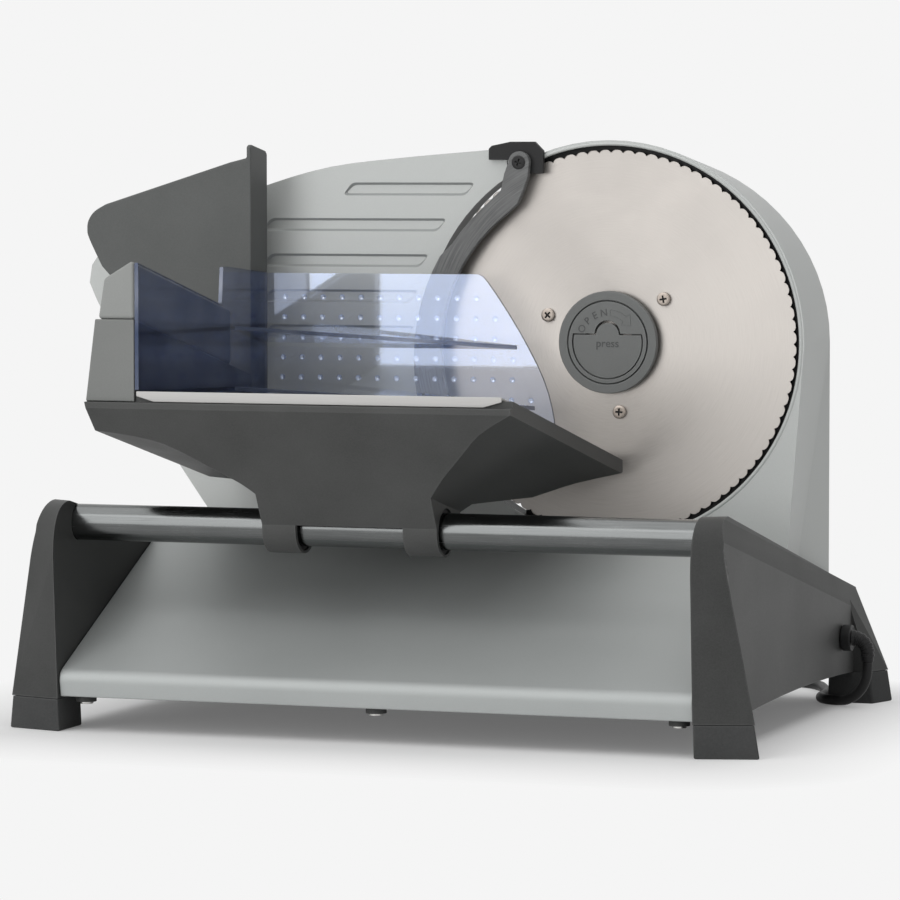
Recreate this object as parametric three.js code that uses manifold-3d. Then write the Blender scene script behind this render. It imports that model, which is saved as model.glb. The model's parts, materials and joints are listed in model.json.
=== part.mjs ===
// A household food slicer: a base with a rail, a sliding carriage with a food pusher, a round blade in a
// housing, a thickness guide plate and a worm drive. Millimetres, Z up, X to the right, Y to the rear.
// The machine is built with X = 0 midway between the end caps, Y = 0 at the blade's front face and Z = 0
// on the table, and then moved as a whole so that the origin lies under the middle of its box.
import * as THREE from 'three';
import { mergeVertices } from 'three/addons/utils/BufferGeometryUtils.js';
import Module from 'manifold-3d';

const wasm = await Module();
wasm.setup();

// Clearances
const GAP = 0.3; // between pieces that are seated or fastened
const RUN = 0.6; // beside pieces that slide or turn
const OVER = 5; // how far a cut runs past the face that it opens

// Roundness
const FINE = 48; // sides of a large round
const ROUND = 24; // sides of a small round

// Base
const BASE_INNER = 317.4; // between the end caps
const BASE_FRONT = -170;
const BASE_REAR = 94;
const FALL_DEG = 12.2; // cap tops, rear deck, tray and pusher all fall to the rear at this angle
const CAP_PEAK_Y = -150;
const CAP_PEAK_Z = 110.5;
const CAP_ROUND = 26; // drop of the rounded front corner
const CAP_CREST = 10.5; // width of the crest along the top
const CAP_THICK = 13.2; // side panel
const CAP_BEVEL = 12; // drop of the bevel between crest and panel
const FOOT_H = 16;
const FRONT_LEG = 32; // depth of the front leg
const REAR_LEG = 14.5;
const REAR_LEG_TOP = 22; // depth of the rear leg where it starts
const REAR_LEG_IN = 6; // its front edge lies in from its rear edge at the foot
const LEG_FOOT_W = 27.6; // leg's width where the foot begins
const FOOT_W = 29.8; // on the table
const LEG_LEAN = 4.5; // how far the front face leans back at the foot
const LEG_SET = 8; // the front face's outer edge lies behind its inner edge
const LEG_RAKE = 0.5; // how far the rear edge leans back at the foot
const FOOT_FLARE = 1.5; // further lean of the foot's faces
const ARCH_RISE = 2.6; // of the panel's lower edge above the foot seam
const ARCH_STEPS = 8;
const CORNER_STEPS = 12; // rounded front corner of the caps
const SKEW = 15; // the leg's outer side turns in to the panel by this much

// Deck and base plate
const DECK_T = 2.5;
const LIP_Y = -163;
const LIP_Z = 17;
const LIP_H = 11.5;
const LIP_BACK = 2; // the lip's foot lies behind its top
const LIP_ROUND = 5;
const DECK_PAST = 2; // the deck runs on behind the caps
const DECK_RIDGE_Y = -50;
const DECK_BELOW_CAP = 5;
const PLATE_T = 2.5;
const PLATE_Z = 18;
const BOSS_R = 5;
const BOSS_H = 4;
const SCREW_R = 1.6;
const SCREW_HEAD_R = 3.4;
const SCREW_HEAD_H = 2.2;
const BASE_SCREW_PITCH = 149;

// Rail
const RAIL_R = 8.75;
const RAIL_Y = -139;
const RAIL_Z = 99.5;
const RAIL_SOCKET = 8;

// Blade and hub
const BLADE_R = 95.25;
const BLADE_X = 67;
const BLADE_Z = 184.5;
const BLADE_T = 2;
const TEETH = 96;
const TOOTH_H = 1.4;
const BLADE_BORE_R = 14;
const BLADE_SCREW_PCR = 35;
const BLADE_SCREW_TURN = 38; // degrees, of the first screw
const CARRIER_R = 39;
const CARRIER_T = 3.7;
const CARRIER_POCKET = 6.7;
const CARRIER_BACK = 3;
const HUB_R = 25.4;
const HUB_T = 3.7;
const HUB_FLOOR = 1.6;
const HUB_BORE_R = 12.5;
const LOCK_R = 20.3;
const LOCK_T = 1.8;
const TAB_R = 17.8;
const TAB_CHORD = 3.7;
const TAB_LUG_R = 6;

// Blade housing and rear cover
const HOUSING_RIM = 2.4; // round the blade's pocket
const HOUSING_LEFT = 22;
const HOUSING_FRONT = -1.3;
const HOUSING_BACK = 48;
const HOUSING_WALL = 3;
const HOUSING_LEAN = 0.08; // the front right edge leans in towards the table
const HOUSING_DROP = 6; // fall of the top from front to back
const POCKET_PLAY = 2.35; // round the blade
const POCKET_FLOOR = 4.5;
const COVER_DEPTH = 16;
const COVER_WALL = 2.5;
const COVER_TAPER = 9;
const VENT_COUNT = 6;
const VENT_W = 4;
const VENT_H = 34;
const VENT_PITCH = 10;
const BUTTON_R = 8;
const BUTTON_UP = 42; // above the blade's centre
const BUTTON_RIGHT = 48;
const BUTTON_PROUD = 3.5;
const BUTTON_LONG = 9;

// Drive
const SPINDLE_R = 6;
const BUSH_WALL = 5;
const BUSH_LONG = 5.4;
const WHEEL_TEETH = 36;
const WHEEL_R = 30; // pitch radius
const WHEEL_Y = 34;
const WHEEL_W = 8;
const TOOTH_IN = 1.8;
const TOOTH_OUT = 1.3;
const TOOTH_ROOT_W = 2.2;
const TOOTH_TIP_W = 1.1;
const WORM_PITCH_R = 8;
const WORM_CORE_R = 6.2;
const WORM_OUT_R = 9.3;
const WORM_LONG = 19;
const THREAD_TURNS = 3;
const THREAD_STEPS = 16; // per turn
const THREAD_ROOT_W = 2;
const THREAD_TIP_W = 1;
const SHAFT_R = 3;
const SHAFT_STUB = 20; // inside the motor
const SHAFT_TAIL = 14; // beyond the worm, in the outboard bush
const MOTOR_R = 17.5;
const MOTOR_LONG = 60;
const MOTOR_AWAY = 17; // from the worm's end
const CRADLE_LONG = 40;
const CRADLE_H = 33;
const BLOCK_W = 8;
const BLOCK_H = 17;

// Thickness guide
const GUIDE_FRONT = -1;
const GUIDE_DEEP = 12;
const GUIDE_WALL = 3;
const GUIDE_TRAVEL = 12;
const GUIDE_LEFT = -213.5;
const GUIDE_BOTTOM = 80;
const GUIDE_RISE = 7.7; // of the top edge over the edge guard's pivot
const GUIDE_SHOULDER_X = -196; // where the falling top edge ends
const GUIDE_SHOULDER_Z = 232.5;
const GUIDE_TIP_Z = 212;
const GUIDE_TIP_R = 15.5;
const GUIDE_FOOT_X = -138;
const GUIDE_FOOT_R = 25; // how far the lower left corner is rounded off
const EDGE_STEPS = 20; // along a curved edge of a plate
const RIB_COUNT = 5;
const RIB_TOP_Z = 260.2;
const RIB_PITCH = 18;
const RIB_H = 6.6;
const RIB_DEEP = 1.4;
const RIB_AWAY = 9.75; // the ribs end this far out from the blade
const RIB_LEFT = -118;
const RIB_FIRST_LEFT = -74;
const RIB_SLANT = 5;
const POST_X = -100;
const POST_Z = 165;
const POST_R = 8;
const POST_LONG = 36;
const POST_BORE = 30;
const SUPPORT_W = 70;
const SUPPORT_DEEP = 24;
const SUPPORT_TOP = 212;
const SUPPORT_WALL = 3;
const DIAL_R = 20;
const DIAL_T = 14;
const DIAL_LOBES = 16;
const DIAL_LOBE = 1.2;
const DIAL_BORE = 7;
const DIAL_SCREW_R = 3;
const DIAL_SCREW_TIP = 22; // Y of the screw's front end

// Edge guard
const PIVOT_X = 22;
const PIVOT_IN = 6.25; // lower than the blade's top
const PIVOT_PAD_R = 8;
const GUARD_BACK = -4.7;
const GUARD_T = 3.6;
const GUARD_HALF_W = 5.5;
const GUARD_OVER = 12.55; // the arm covers the blade's edge this far in
const GUARD_PAST = 4.75; // and this far out
const GUARD_END_DEG = 228;
const BRACKET_T = 2.8;
const BRACKET_TO_LEFT = 17; // from the pivot to each side of the bracket
const BRACKET_TO_RIGHT = 11.5;
const BRACKET_UP = 10.3;
const BRACKET_DOWN = 5.5;
const BRACKET_BAR = 7; // height of the bar on the left
const BRACKET_CUT = 4.5; // corner cut at the upper right
const BRACKET_SOFT = 1.5; // and at the upper left
const BRACKET_FALL = 2; // the left end is lower

// Carriage and tray
const TRAY_FRONT = -182;
const TRAY_REAR = -9.8;
const TRAY_TOP = 165.5; // at the front edge
const TRAY_LEFT = -110;
const TRAY_RIGHT = 72;
const TRAY_T = 1.2;
const TRAY_LIP = 5;
const TRAY_LIP_CUT = 9; // slanting ends of the lip
const TRAY_LIP_END = 2.4; // its depth at the ends
const BODY_LEFT = -136;
const BODY_RIM = 5; // the frame stands past the tray plate on the right
const BODY_WALL = 3;
const BODY_EDGE = 6; // depth of the tray's frame at its free edges
const FLANK_RIM = 13; // upright rim at the left end
const FLANK_IN = 3; // the rim's foot lies in by this much
const FLANK_DROP = 39; // from the rim down to the lugs
const FLANK_RIGHT_RIM = 3.2;
const FLANK_STEPS = 12;
const LUG_LEFT = -58;
const LUG_RIGHT = 30;
const LUG_W = 17;
const LUG_DEEP = 27;
const LUG_WALL = 1.3;
const RAIL_BUSH_WALL = 1.6;
const SKIRT_FOOT_Z = 108; // bottom of the skirt between the lugs, measured at the tray's front
const WALL_TOP = 199.4; // left wall, at its front
const WALL_LEAN = 5;
const WALL_REAR = -34;
const GUARD_PANEL_T = 2.6;
const GUARD_PANEL_TOP = 276;
const GUARD_PANEL_LEFT = -200.5;
const GUARD_PANEL_FALL = 23.5; // of the top edge towards the left
const GUARD_PANEL_R = 9; // rounded left end
const FLANGE_T = 2.4;
const FLANGE_REAR = -11;
const FLANGE_TOP = 282.5;

// Pusher
const PUSHER_T = 2;
const PUSHER_BACK = -15.5;
const PUSHER_TOP = 218;
const PUSHER_WALL_TOP = 226; // at the front
const PUSHER_NOTCH = -78;
const PUSHER_RIGHT = 44;
const PUSHER_EDGE_IN = 40; // how far the plate's right edge runs in at its top
const GUSSET_UPPER_Z = 181; // where it meets the plate
const GUSSET_LOWER_Z = 151;
const GUSSET_DEEP = 44;
const GUSSET_UPPER_IN = 16.5; // from the plate's right edge to the gusset's tip
const GUSSET_LOWER_IN = 7;
const HANDLE_LONG = 122;
const HANDLE_RISE = 8;
const HANDLE_H = 19;

// Power cord
const CORD_R = 2.6;
const CORD_SIDES = 8;
const CORD_LEAD = 3; // straight start of the cord
const GLAND_Y = 56;
const GLAND_Z = 35.5;
const GLAND_R = 6.6;
const GLAND_FLANGE = 5.5;
const GLAND_BEND = 7.5; // bend radius of the boot
const GLAND_DROP = 4; // straight end of the boot
const GLAND_STEPS = 6;
const GLAND_WALL = 1.4; // boot round the cord at the flange
const GLAND_TIP = 0.5; // boot round the cord at its end
const CORD_TURN = 16; // bend of the cord round the rear foot
const CORD_AWAY = 45; // behind the rear foot
const CORD_CORNER = 236; // where the bend in front of the rear foot starts, in degrees
const CORD_SWEEP = 9.5; // how far back the cord leans on its way down to the table
const COIL_X = 10;
const COIL_Y = 146.5;
const COIL_R = 36.5;
const COIL_LOOPS = 4;
const COIL_STEP = 6.1; // between neighbouring turns
const COIL_RISE = 5.9; // between the two layers
const COIL_STEPS = 24; // per loop
const COIL_SIDES = 6;
const COIL_TAIL = 38; // straight end at the plug
const PLUG_LONG = 36;
const PLUG_W = 20;
const PIN_LONG = 16;
const PIN_W = 6.4;
const PIN_T = 1.6;
const PIN_PITCH = 12.7;

// Values that follow from the sizes above
const WELD = 1e-4;
const FALL = Math.tan(THREE.MathUtils.degToRad(FALL_DEG));
const INNER_X = BASE_INNER / 2;
const WORM_AXIS_Z = BLADE_Z - WHEEL_R - WORM_PITCH_R;
const WORM_PITCH = (2 * Math.PI * WHEEL_R) / WHEEL_TEETH;
const COVER_FRONT = HOUSING_BACK + GAP;
const COVER_BACK = COVER_FRONT + COVER_DEPTH;
const COVER_FLOOR = COVER_BACK - COVER_WALL;
const SUPPORT_FRONT = GUIDE_FRONT + GUIDE_DEEP + GUIDE_TRAVEL + 3;
const SUPPORT_BACK = SUPPORT_FRONT + SUPPORT_DEEP;
const CARRIER_FRONT = BLADE_T + GAP;
const CARRIER_END = CARRIER_FRONT + CARRIER_POCKET + CARRIER_BACK;
const RECESS_R = CARRIER_R + 2.5;
const RECESS_FLOOR = CARRIER_END + 1;
const GUARD_FRONT = GUARD_BACK - GUARD_T;
const POCKET_R = BLADE_R + POCKET_PLAY;
const HOUSING_R = POCKET_R + HOUSING_RIM;
const RIB_ARC_R = BLADE_R + RIB_AWAY;
const GUARD_IN_R = BLADE_R - GUARD_OVER;
const GUARD_OUT_R = BLADE_R + GUARD_PAST;
const PIVOT_Z = BLADE_Z + BLADE_R - PIVOT_IN;
const GUIDE_TOP = PIVOT_Z + GUIDE_RISE;
const capTop = (y) => CAP_PEAK_Z - FALL * (y - CAP_PEAK_Y);
const deckTop = (y) => capTop(y) - DECK_BELOW_CAP;
const trayTop = (y) => TRAY_TOP - FALL * (y - TRAY_FRONT);
const bodyTop = (y) => trayTop(y) - TRAY_T - GAP;
const wallTop = (y) => WALL_TOP - FALL * (y - TRAY_FRONT);

// Finishes
const finish = (color, roughness, metalness) => new THREE.MeshStandardMaterial({ color, roughness, metalness });
const CAP_GREY = finish(0x4a4c4c, 0.55, 0);
const CARRIAGE_GREY = finish(0x484a4a, 0.5, 0);
const HAND_GUARD_GREY = finish(0x5d605e, 0.55, 0);
const WALL_GREY = finish(0x7d807d, 0.5, 0);
const HANDLE_GREY = finish(0x959797, 0.5, 0);
const RUBBER = finish(0x3a3b3b, 0.85, 0);
const SILVER = finish(0xb7bbb8, 0.42, 0.55);
const DECK_SILVER = finish(0x9fa4a3, 0.4, 0.6);
const CHROME = finish(0xcfd2d2, 0.15, 1);
const BLADE_STEEL = finish(0xcdc6be, 0.3, 1);
const STEEL = finish(0xb4b4b2, 0.35, 1);
const HUB_GREY = finish(0x636666, 0.5, 0);
const ARM_GREY = finish(0x54585a, 0.4, 0.6);
const BLACK = finish(0x1d1e1f, 0.45, 0);
const CLEAR_BLUE = new THREE.MeshStandardMaterial({
  color: 0xb9c9e8,
  roughness: 0.1,
  metalness: 0,
  transparent: true,
  opacity: 0.45,
});
const BRASS = finish(0xb08d57, 0.35, 1);
const NYLON = finish(0xd9d6cb, 0.5, 0);
const MOTOR_GREY = finish(0x8a8d8f, 0.4, 0.8);

// Turns a closed geometry into a solid with its faces pointing out.
function solidOf(geometry) {
  const bare = geometry.clone();
  for (const name of Object.keys(bare.attributes)) {
    if (name !== 'position') {
      bare.deleteAttribute(name);
    }
  }
  const merged = mergeVertices(bare, WELD);
  const points = merged.getAttribute('position');
  const index = merged.getIndex().array;
  const corner = [new THREE.Vector3(), new THREE.Vector3(), new THREE.Vector3()];
  const triangles = [];
  let volume = 0;
  for (let i = 0; i < index.length; i += 3) {
    const [a, b, c] = index.slice(i, i + 3);
    if (a === b || b === c || c === a) {
      continue;
    }
    triangles.push([a, b, c]);
    [a, b, c].forEach((k, n) => corner[n].fromBufferAttribute(points, k));
    volume += corner[0].dot(corner[1].cross(corner[2]));
  }
  const facing = volume < 0 ? triangles.map(([a, b, c]) => [a, c, b]) : triangles;
  const mesh = new wasm.Mesh({
    numProp: 3,
    vertProperties: new Float32Array(points.array),
    triVerts: new Uint32Array(facing.flat()),
  });
  return new wasm.Manifold(mesh);
}

// Turns a solid back into a geometry.
function geometryOf(solid) {
  const mesh = solid.getMesh();
  const geometry = new THREE.BufferGeometry();
  geometry.setAttribute('position', new THREE.BufferAttribute(new Float32Array(mesh.vertProperties), 3));
  geometry.setIndex(new THREE.BufferAttribute(new Uint32Array(mesh.triVerts), 1));
  geometry.computeVertexNormals();
  return geometry;
}

const join = (first, ...others) => others.reduce((all, other) => all.add(other), first);
const cut = (first, ...others) => others.reduce((left, other) => left.subtract(other), first);

// Moves each corner of a solid by a rule.
function reshape(solid, rule) {
  const geometry = geometryOf(solid);
  const points = geometry.getAttribute('position');
  const p = new THREE.Vector3();
  for (let i = 0; i < points.count; i += 1) {
    p.fromBufferAttribute(points, i);
    rule(p);
    points.setXYZ(i, p.x, p.y, p.z);
  }
  return solidOf(geometry);
}

const mirrorX = (solid) => reshape(solid, (p) => p.setX(-p.x));

// An outline of [a, b] pairs as a flat shape, with other outlines as holes.
function shapeOf(outline, holes = []) {
  const shape = new THREE.Shape(outline.map(([a, b]) => new THREE.Vector2(a, b)));
  shape.holes = holes.map((hole) => new THREE.Path(hole.map(([a, b]) => new THREE.Vector2(a, b))));
  return shape;
}

function slab(outline, holes, depth) {
  return new THREE.ExtrudeGeometry(shapeOf(outline, holes), { depth, bevelEnabled: false });
}

// Prisms: an outline in X and Z run along Y, in Y and Z run along X, and in X and Y run along Z.
function alongY(outline, y0, y1, holes = []) {
  return solidOf(slab(outline, holes, y1 - y0).rotateX(Math.PI / 2).translate(0, y1, 0));
}

function alongX(outline, x0, x1, holes = []) {
  const turn = new THREE.Matrix4().makeBasis(
    new THREE.Vector3(0, 1, 0),
    new THREE.Vector3(0, 0, 1),
    new THREE.Vector3(1, 0, 0),
  );
  return solidOf(slab(outline, holes, x1 - x0).applyMatrix4(turn).translate(x0, 0, 0));
}

function alongZ(outline, z0, z1, holes = []) {
  return solidOf(slab(outline, holes, z1 - z0).translate(0, 0, z0));
}

// Boxes and rounds, given by their limits.
function box(x0, x1, y0, y1, z0, z1) {
  const geometry = new THREE.BoxGeometry(x1 - x0, y1 - y0, z1 - z0);
  return solidOf(geometry.translate((x0 + x1) / 2, (y0 + y1) / 2, (z0 + z1) / 2));
}

function rodY(x, z, r, y0, y1, sides = ROUND) {
  return solidOf(new THREE.CylinderGeometry(r, r, y1 - y0, sides).translate(x, (y0 + y1) / 2, z));
}

function rodX(y, z, r, x0, x1, sides = ROUND) {
  const geometry = new THREE.CylinderGeometry(r, r, x1 - x0, sides).rotateZ(Math.PI / 2);
  return solidOf(geometry.translate((x0 + x1) / 2, y, z));
}

function rodZ(x, y, r, z0, z1, sides = ROUND) {
  const geometry = new THREE.CylinderGeometry(r, r, z1 - z0, sides).rotateX(Math.PI / 2);
  return solidOf(geometry.translate(x, y, (z0 + z1) / 2));
}

const ringY = (x, z, r0, r1, y0, y1) => cut(rodY(x, z, r1, y0, y1), rodY(x, z, r0, y0 - OVER, y1 + OVER));
const ringX = (y, z, r0, r1, x0, x1) => cut(rodX(y, z, r1, x0, x1), rodX(y, z, r0, x0 - OVER, x1 + OVER));

// A profile of [radius, y] pairs turned about the Y axis.
function turned(profile, sides = FINE) {
  const closed = [...profile, profile[0]];
  return solidOf(new THREE.LatheGeometry(closed.map(([r, y]) => new THREE.Vector2(r, y)), sides));
}

// Points on an arc, from one angle to another in degrees.
function arc(x, z, r, from, to, steps) {
  const points = [];
  for (let i = 0; i <= steps; i += 1) {
    const a = THREE.MathUtils.degToRad(from + ((to - from) * i) / steps);
    points.push([x + r * Math.cos(a), z + r * Math.sin(a)]);
  }
  return points;
}

// The outline moved inwards by an equal distance on every side. The outline runs anticlockwise.
function inset(outline, distance) {
  const count = outline.length;
  const edges = outline.map(([x, z], i) => {
    const [u, w] = outline[(i + 1) % count];
    const long = Math.hypot(u - x, w - z);
    const [dx, dz] = [(u - x) / long, (w - z) / long];
    return { x: x - dz * distance, z: z + dx * distance, dx, dz };
  });
  return edges.map((edge, i) => {
    const before = edges[(i + count - 1) % count];
    const cross = before.dx * edge.dz - before.dz * edge.dx;
    if (Math.abs(cross) < 1e-9) {
      return [edge.x, edge.z];
    }
    const t = ((edge.x - before.x) * edge.dz - (edge.z - before.z) * edge.dx) / cross;
    return [before.x + before.dx * t, before.z + before.dz * t];
  });
}

// A skin over rings of points, each with the same count, closed by a fan at both ends.
function skin(rings) {
  const sides = rings[0].length;
  const points = rings.flat();
  const index = [];
  for (let r = 0; r + 1 < rings.length; r += 1) {
    for (let s = 0; s < sides; s += 1) {
      const next = (s + 1) % sides;
      const [a, b] = [r * sides + s, r * sides + next];
      const [c, d] = [a + sides, b + sides];
      index.push(a, b, c, b, d, c);
    }
  }
  const last = (rings.length - 1) * sides;
  for (let s = 1; s + 1 < sides; s += 1) {
    index.push(0, s + 1, s);
    index.push(last, last + s, last + s + 1);
  }
  const geometry = new THREE.BufferGeometry().setFromPoints(points);
  geometry.setIndex(index);
  return solidOf(geometry);
}

// A column with a four-sided plan that changes from one level to the next.
function column(levels) {
  return skin(levels.map(({ z, plan }) => plan.map(([x, y]) => new THREE.Vector3(x, y, z))));
}

// Scene tree
const slicer = new THREE.Group();
const machine = new THREE.Group();
const cordSet = new THREE.Group();
slicer.add(machine, cordSet);

function piece(parent, name, solid, material) {
  const mesh = new THREE.Mesh(geometryOf(solid), material);
  mesh.name = name;
  parent.add(mesh);
  return mesh;
}

// Base: end caps, feet, deck, base plate and rail
const base = new THREE.Group();
machine.add(base);

const REAR_FOOT_Y = BASE_REAR + LEG_RAKE;
const PANEL_X = INNER_X + CAP_THICK;
const capFront = [
  [BASE_FRONT + LEG_LEAN, FOOT_H],
  [BASE_FRONT, CAP_PEAK_Z - CAP_ROUND],
];
const frontCorner = new THREE.QuadraticBezierCurve(
  new THREE.Vector2(BASE_FRONT, CAP_PEAK_Z - CAP_ROUND),
  new THREE.Vector2(BASE_FRONT, CAP_PEAK_Z + FALL),
  new THREE.Vector2(CAP_PEAK_Y, CAP_PEAK_Z),
);
const cornerPoints = frontCorner.getPoints(CORNER_STEPS);
const frontRound = cornerPoints.slice(1).map((p) => [p.x, p.y]);
const legCorner = cornerPoints.filter((p) => p.y < CAP_PEAK_Z - CAP_BEVEL);
const legTop = legCorner.at(-1).y;
const frontLegBack = BASE_FRONT + FRONT_LEG;
const rearLegFront = REAR_FOOT_Y - REAR_LEG;
const arch = Array.from({ length: ARCH_STEPS + 1 }, (_, i) => {
  const share = i / ARCH_STEPS;
  const rise = 4 * ARCH_RISE * share * (1 - share);
  return [THREE.MathUtils.lerp(rearLegFront, frontLegBack, share), FOOT_H + rise];
});
const capFoot = [[REAR_FOOT_Y, FOOT_H], ...arch];
const capOutline = [...capFront, ...frontRound, [BASE_REAR, capTop(BASE_REAR)], ...capFoot].reverse();

// The side panel is lower than the crest by the bevel, and the bevel joins them.
function capBody() {
  const crest = reshape(alongX(capOutline, INNER_X, PANEL_X), (p) => {
    const front = p.y < frontLegBack || (p.y <= CAP_PEAK_Y && p.z > legTop);
    p.y += front && p.x > INNER_X + CAP_CREST ? LEG_SET : 0;
  });
  const bevel = Math.hypot(CAP_THICK - CAP_CREST, CAP_BEVEL);
  const wedge = alongX(
    [
      [BASE_FRONT - OVER, capTop(BASE_FRONT) - CAP_BEVEL],
      [BASE_REAR + OVER + LEG_RAKE, capTop(BASE_REAR + OVER + LEG_RAKE) - CAP_BEVEL],
      [BASE_REAR + OVER + LEG_RAKE, CAP_PEAK_Z + bevel],
      [BASE_FRONT - OVER, CAP_PEAK_Z + bevel],
    ],
    INNER_X + CAP_CREST,
    PANEL_X + OVER,
  );
  const slope = CAP_BEVEL / (CAP_THICK - CAP_CREST);
  const leaned = reshape(wedge, (p) => {
    const out = p.x - PANEL_X;
    const low = p.z < capTop(p.y);
    p.z -= low ? out * slope : 0;
  });
  return cut(crest, leaned);
}

const frontLegPlan = (width, front, back) => [
  [INNER_X, front],
  [INNER_X + width, front + LEG_SET],
  [INNER_X + Math.max(width - SKEW, CAP_CREST), back],
  [INNER_X, back],
];
const rearLegPlan = (near, far, front, back) => [
  [INNER_X, front],
  [INNER_X + near, front],
  [INNER_X + far, back],
  [INNER_X, back],
];
// The leg narrows evenly from its foot up into the rounded corner.
const legWidth = (z) => THREE.MathUtils.mapLinear(z, FOOT_H, legTop, LEG_FOOT_W, CAP_THICK);
const frontLeg = column([
  { z: FOOT_H, plan: frontLegPlan(LEG_FOOT_W, BASE_FRONT + LEG_LEAN, frontLegBack) },
  ...legCorner.map((p) => ({ z: p.y, plan: frontLegPlan(legWidth(p.y), p.x, frontLegBack) })),
]);
const rearLegTop = capTop(BASE_REAR) - GAP;
const rearLegNear = LEG_FOOT_W - REAR_LEG_IN;
const rearLeg = column([
  { z: FOOT_H, plan: rearLegPlan(rearLegNear, LEG_FOOT_W, rearLegFront, REAR_FOOT_Y) },
  { z: rearLegTop, plan: rearLegPlan(CAP_CREST + GAP, CAP_CREST, BASE_REAR - REAR_LEG_TOP, BASE_REAR) },
]);
const railSocket = rodX(RAIL_Y, RAIL_Z, RAIL_R + GAP, INNER_X - OVER, INNER_X + RAIL_SOCKET);
const rightCap = cut(join(capBody(), frontLeg, rearLeg), railSocket);
piece(base, 'right_end_cap', rightCap, CAP_GREY);
piece(base, 'left_end_cap', mirrorX(rightCap), CAP_GREY);

const frontFoot = column([
  { z: 0, plan: frontLegPlan(FOOT_W, BASE_FRONT + LEG_LEAN + FOOT_FLARE, frontLegBack + FOOT_FLARE) },
  { z: FOOT_H - GAP, plan: frontLegPlan(LEG_FOOT_W, BASE_FRONT + LEG_LEAN, frontLegBack) },
]);
const rearFootNear = FOOT_W - REAR_LEG_IN;
const rearFoot = column([
  { z: 0, plan: rearLegPlan(rearFootNear, FOOT_W, rearLegFront - FOOT_FLARE, REAR_FOOT_Y + FOOT_FLARE) },
  { z: FOOT_H - GAP, plan: rearLegPlan(rearLegNear, LEG_FOOT_W, rearLegFront, REAR_FOOT_Y) },
]);
piece(base, 'front_right_foot', frontFoot, RUBBER);
piece(base, 'rear_right_foot', rearFoot, RUBBER);
piece(base, 'front_left_foot', mirrorX(frontFoot), RUBBER);
piece(base, 'rear_left_foot', mirrorX(rearFoot), RUBBER);

const DECK_HALF = INNER_X - GAP;
const deckBack = BASE_REAR + DECK_PAST;
const lipTop = new THREE.Vector2(LIP_Y - LIP_BACK, LIP_Z + LIP_H);
const deckRise = new THREE.Vector2(DECK_RIDGE_Y, deckTop(DECK_RIDGE_Y)).sub(lipTop).setLength(LIP_ROUND);
const lipFall = new THREE.Vector2(LIP_Y, LIP_Z).sub(lipTop).setLength(LIP_ROUND);
const lipFold = new THREE.QuadraticBezierCurve(lipTop.clone().add(lipFall), lipTop, lipTop.clone().add(deckRise));
const deckOuter = [
  [LIP_Y, LIP_Z],
  ...lipFold.getPoints(6).map((p) => [p.x, p.y]),
  [DECK_RIDGE_Y, deckTop(DECK_RIDGE_Y)],
  [deckBack, deckTop(deckBack)],
  [deckBack, LIP_Z + LIP_H],
];
const deckLoop = [...deckOuter].reverse();
const deckInner = inset(deckLoop, DECK_T);
deckInner[0] = [deckBack - DECK_T, LIP_Z + LIP_H];
deckInner[deckLoop.length - 1] = [LIP_Y + DECK_T, LIP_Z];
const deckOutline = [...deckLoop, ...deckInner.reverse()];
piece(base, 'front_deck', alongX(deckOutline, -DECK_HALF, DECK_HALF), DECK_SILVER);

const plateFront = LIP_Y + DECK_T + GAP;
const plateBack = deckBack - DECK_T - GAP;
const screwY = plateFront + BOSS_R + 2;
const bossBottom = PLATE_Z - BOSS_H;
const screwPlaces = [-BASE_SCREW_PITCH, 0, BASE_SCREW_PITCH];
const basePlate = screwPlaces.reduce(
  (plate, x) => {
    const boss = rodZ(x, screwY, BOSS_R, bossBottom, PLATE_Z + PLATE_T);
    const hole = rodZ(x, screwY, SCREW_R + GAP, bossBottom - OVER, PLATE_Z + PLATE_T + OVER);
    return cut(join(plate, boss), hole);
  },
  box(-DECK_HALF, DECK_HALF, plateFront, plateBack, PLATE_Z, PLATE_Z + PLATE_T),
);
piece(base, 'base_plate', basePlate, CAP_GREY);
screwPlaces.forEach((x, i) => {
  const headTop = bossBottom - GAP;
  const head = rodZ(x, screwY, SCREW_HEAD_R, headTop - SCREW_HEAD_H, headTop);
  const shank = rodZ(x, screwY, SCREW_R, headTop - SCREW_HEAD_H / 2, PLATE_Z + PLATE_T);
  piece(base, `base_screw_${i + 1}`, join(head, shank), STEEL);
});

const railEnd = INNER_X + RAIL_SOCKET - GAP;
piece(base, 'guide_rail', rodX(RAIL_Y, RAIL_Z, RAIL_R, -railEnd, railEnd, FINE / 2), CHROME);

// Blade unit, about its own axis
const bladeUnit = new THREE.Group();
bladeUnit.position.set(BLADE_X, 0, BLADE_Z);
machine.add(bladeUnit);

const toothed = [];
for (let i = 0; i < TEETH; i += 1) {
  const step = 360 / TEETH;
  toothed.push(arc(0, 0, BLADE_R - TOOTH_H, i * step, i * step, 1)[0]);
  toothed.push(arc(0, 0, BLADE_R, (i + 0.3) * step, (i + 0.3) * step, 1)[0]);
  toothed.push(arc(0, 0, BLADE_R, (i + 0.7) * step, (i + 0.7) * step, 1)[0]);
}
const screwAngles = [0, 120, 240].map((a) => a + BLADE_SCREW_TURN);
const screwAt = screwAngles.map((a) => arc(0, 0, BLADE_SCREW_PCR, a, a, 1)[0]);
const bladeBlank = alongY(toothed, 0, BLADE_T);
const bladeBore = rodY(0, 0, BLADE_BORE_R, -OVER, BLADE_T + OVER);
const headHoles = screwAt.map(([x, z]) => rodY(x, z, SCREW_HEAD_R + GAP, -OVER, BLADE_T + OVER));
piece(bladeUnit, 'blade', cut(bladeBlank, bladeBore, ...headHoles), BLADE_STEEL);

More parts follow.
